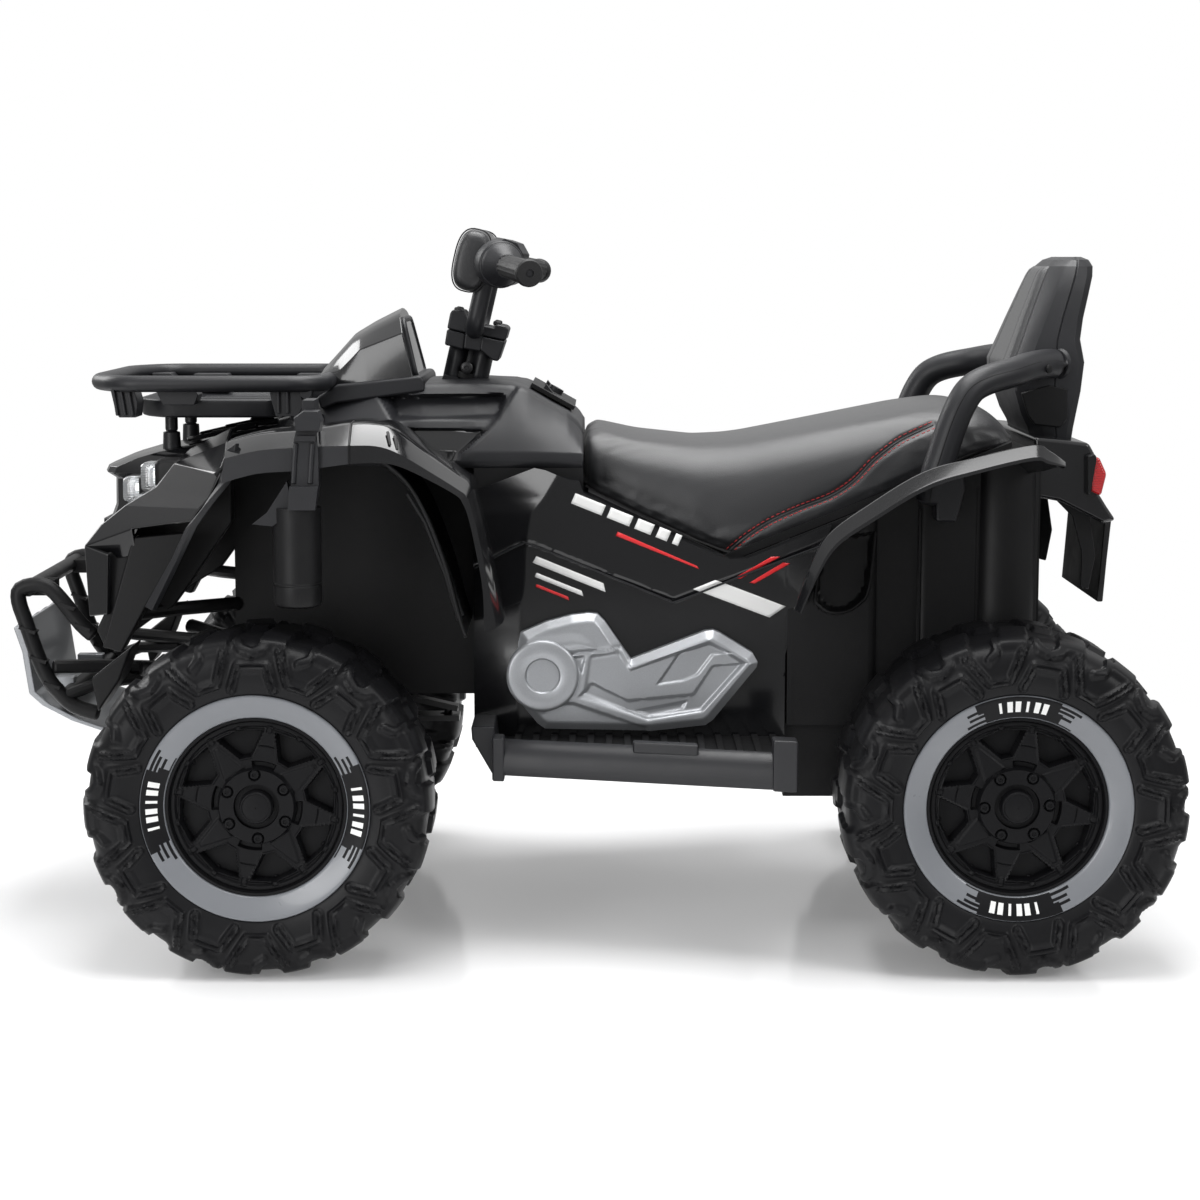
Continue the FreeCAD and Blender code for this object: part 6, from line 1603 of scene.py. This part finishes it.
def makeBackrest():
    rings = []
    for z, front, flat, rearX, half in back["levels"]:
        seamX = front + (rearX - front) * back["seamAt"]
        side = [(front, 0), (front, flat * 0.5), (front, flat - 2), (front + 1.5, flat + 1.5),
                (front + 10, flat + (half - flat) * 0.7), (front + 13, flat + (half - flat) * 0.82),
                (seamX - 1, half), (seamX, half - 1.4), (seamX + 1, half), (rearX - 8, half - 1.5),
                (rearX - 2, half - 6), (rearX, half - 14), (rearX, half * 0.4)]
        ring = [(x, -y, z) for x, y in side] + [(rearX, 0, z)] + [(x, y, z) for x, y in side[:0:-1]]
        rings.append(ring)
    addPiece("backShell", lofted(rings), "satin", "backrest_shell", bevel=0.8, sharp=20)
    low, high = back["pad"]
    rings = []
    for i in range(37):
        z = low + (high - low) * i / 36
        _, front, flat, _, _ = stationAt(back["levels"], z)
        half = flat - 7
        row, under = [], []
        for j in range(45):
            y = -half + 2 * half * j / 44
            edge = max(0.0, min(1.0, (half - abs(y)) / 8, (z - low + 0.4) / 8, (high + 0.4 - z) / 8))
            out = 6.5 * math.sqrt(1 - (1 - edge) ** 2)
            out -= 1.5 * ease(1.3 - abs(abs(y) - half * 0.62) / 2.2) * edge
            row.append((front - out, y, z))
            under.append((front + 1.5, y, z))
        rings.append(row + under[::-1])
    pad = addPiece("backPadCover", lofted(rings), "leather", "backrest_pad", sharp=60)
    addPiece("backCheeks", prism(back["cheek"], -94.6, -86), "matte", mirror=True, bevel=1.6)
    ribs = []
    for z in back["ribs"]:
        _, _, _, rearX, _ = stationAt(back["levels"], z)
        ribs.append(block((rearX - 1.5, -46, z - 2), (rearX + 2.0, 46, z + 2)))
    addPiece("backRibs", joinParts(ribs), "satin", bevel=1.2)


armrest = {
    "path": [(478, -92, 570), (464, -101, 570.5), (446, -119, 568.5), (425, -141, 563.5),
        (398, -157, 557), (381, -165, 548), (370, -169.5, 532), (361, -171.5, 510), (352, -173, 482),
        (346, -174, 462), (342, -174, 436)],
    "radius": 15.4,
    "plug": [(0.3, 0), (4.6, 0), (4.6, -1.4), (3.4, -2.2), (0.3, -2.2)],
    "plugAt": (463.5, -123.5, 566),
}


def makeArmrests():
    line = throughPoints(armrest["path"], 5)
    arms = [tube(line, armrest["radius"], 20, flat=0.95)]
    arms.append(tube([(484, -86, 569.5), (479, -91, 570), (475, -94.5, 570.2)], [11, 14.6, 15.9], 20))
    addPiece("armTubes", joinParts(arms), "satin", "armrests", mirror=True, sharp=45)
    seam = []
    for a, p, b in zip(line, line[1:-1], line[2:]):
        along = (b - a).normalized()
        across = (Vector((0, -1, 0)) - along * Vector((0, -1, 0)).dot(along)).normalized()
        seam.append(p + (across * 0.93 + along.cross(across) * 0.2) * armrest["radius"])
    addPiece("armSeams", tube(seam, 0.7, 6), "matte", mirror=True)
    spot = Matrix.Translation(armrest["plugAt"]) @ Matrix.Rotation(math.radians(45), 4, "Z")
    addPiece("armPlugs", moveParts(turned(armrest["plug"], 16), spot), "matte", mirror=True)


makeRearFenders()
makeTubWalls()
makeTail()
makeFlap()
makeBackrest()
makeArmrests()
print("rear body made")


# Stage, light and camera
def makeStage():
    made, wire, place = startFinish("paleFloor")
    far = wire.node("VectorMath", {"operation": "LENGTH"}, {0: place}, out=1)
    cloud = wire.node("TexNoise", {}, {"Vector": place, "Scale": 1.5})
    shader = wire.node("BsdfPrincipled", {}, {
        "Base Color": blendColour(wire, cloud, (0.9, 0.9, 0.905), (0.93, 0.93, 0.935)),
        "Roughness": 0.12, "Specular IOR Level": 0.5,
        "Emission Color": (1, 1, 1, 1), "Emission Strength": 0.14})
    clear = wire.node("BsdfTransparent")
    fade = rangeOf(wire, far, 0.9, 1.5, 0.0, 1.0)
    endFinish(made, wire.node("MixShader", {}, {0: fade, 1: shader, 2: clear}))
    bpy.ops.mesh.primitive_circle_add(vertices=96, radius=1.6, fill_type="NGON", location=(0, 0, 0))
    floor = bpy.context.object
    floor.name = "studioFloor"
    floor.data.materials.append(made)


studio = {
    # place, target, size and power of each soft box
    "topBox": ((0.1, 0.0, 2.3), (0, 0, 0.3), (2.4, 1.3), 66),
    "sideBox": ((-1.75, -2.5, 0.8), (0, 0, 0.35), (1.1, 1.9), 36),
    "rearBox": ((2.2, -1.7, 1.9), (0, 0, 0.4), (0.8, 1.2), 22),
    "frontBox": ((-2.3, 1.6, 1.7), (0, 0, 0.4), (1.3, 1.2), 26),
}
photoView = {
    "sensor": 36.0, "lens": 76.65,
    "place": (0.0185, -2.666, 0.6765),
    "pitch": 82.35,
}


def makeLight():
    world = bpy.data.worlds.new("studioAir")
    bpy.context.scene.world = world
    world.use_nodes = True
    world.node_tree.nodes.clear()
    wire = Wire(world.node_tree)
    seen = wire.node("LightPath")
    rays = seen.socket.node.outputs
    glossy, through = Wire(seen.tree, rays["Is Glossy Ray"]), Wire(seen.tree, rays["Is Transmission Ray"])
    height = wire.node("SeparateXYZ", {}, {"Vector": wire.node("TexCoord", out=0)}, out=2)
    # paler overhead than at the walls
    rise = rangeOf(wire, height, 0.0, 0.55, 0.15, 0.66)
    strength = rise * (1 - seen) + seen + glossy * 0.2 + through * 0.4
    air = wire.node("Background", {}, {"Color": (1, 1, 1, 1), "Strength": strength})
    air.node("OutputWorld", {}, {"Surface": air})
    for name, (place, target, size, power) in studio.items():
        light = bpy.data.lights.new(name, "AREA")
        light.shape = "RECTANGLE"
        light.size, light.size_y = size
        light.energy = power
        holder = bpy.data.objects.new(name, light)
        bpy.context.scene.collection.objects.link(holder)
        holder.location = place
        holder.rotation_euler = (Vector(target) - Vector(place)).to_track_quat("-Z", "Y").to_euler()


def makeCamera():
    view = bpy.data.cameras.new("photoView")
    view.sensor_width = photoView["sensor"]
    view.lens = photoView["lens"]
    holder = bpy.data.objects.new("photoView", view)
    bpy.context.scene.collection.objects.link(holder)
    holder.location = photoView["place"]
    holder.rotation_euler = (math.radians(photoView["pitch"]), 0, 0)
    bpy.context.scene.camera = holder


makeStage()
makeLight()
makeCamera()
bpy.context.scene.view_settings.view_transform = "Standard"
print("stage, light and camera made")
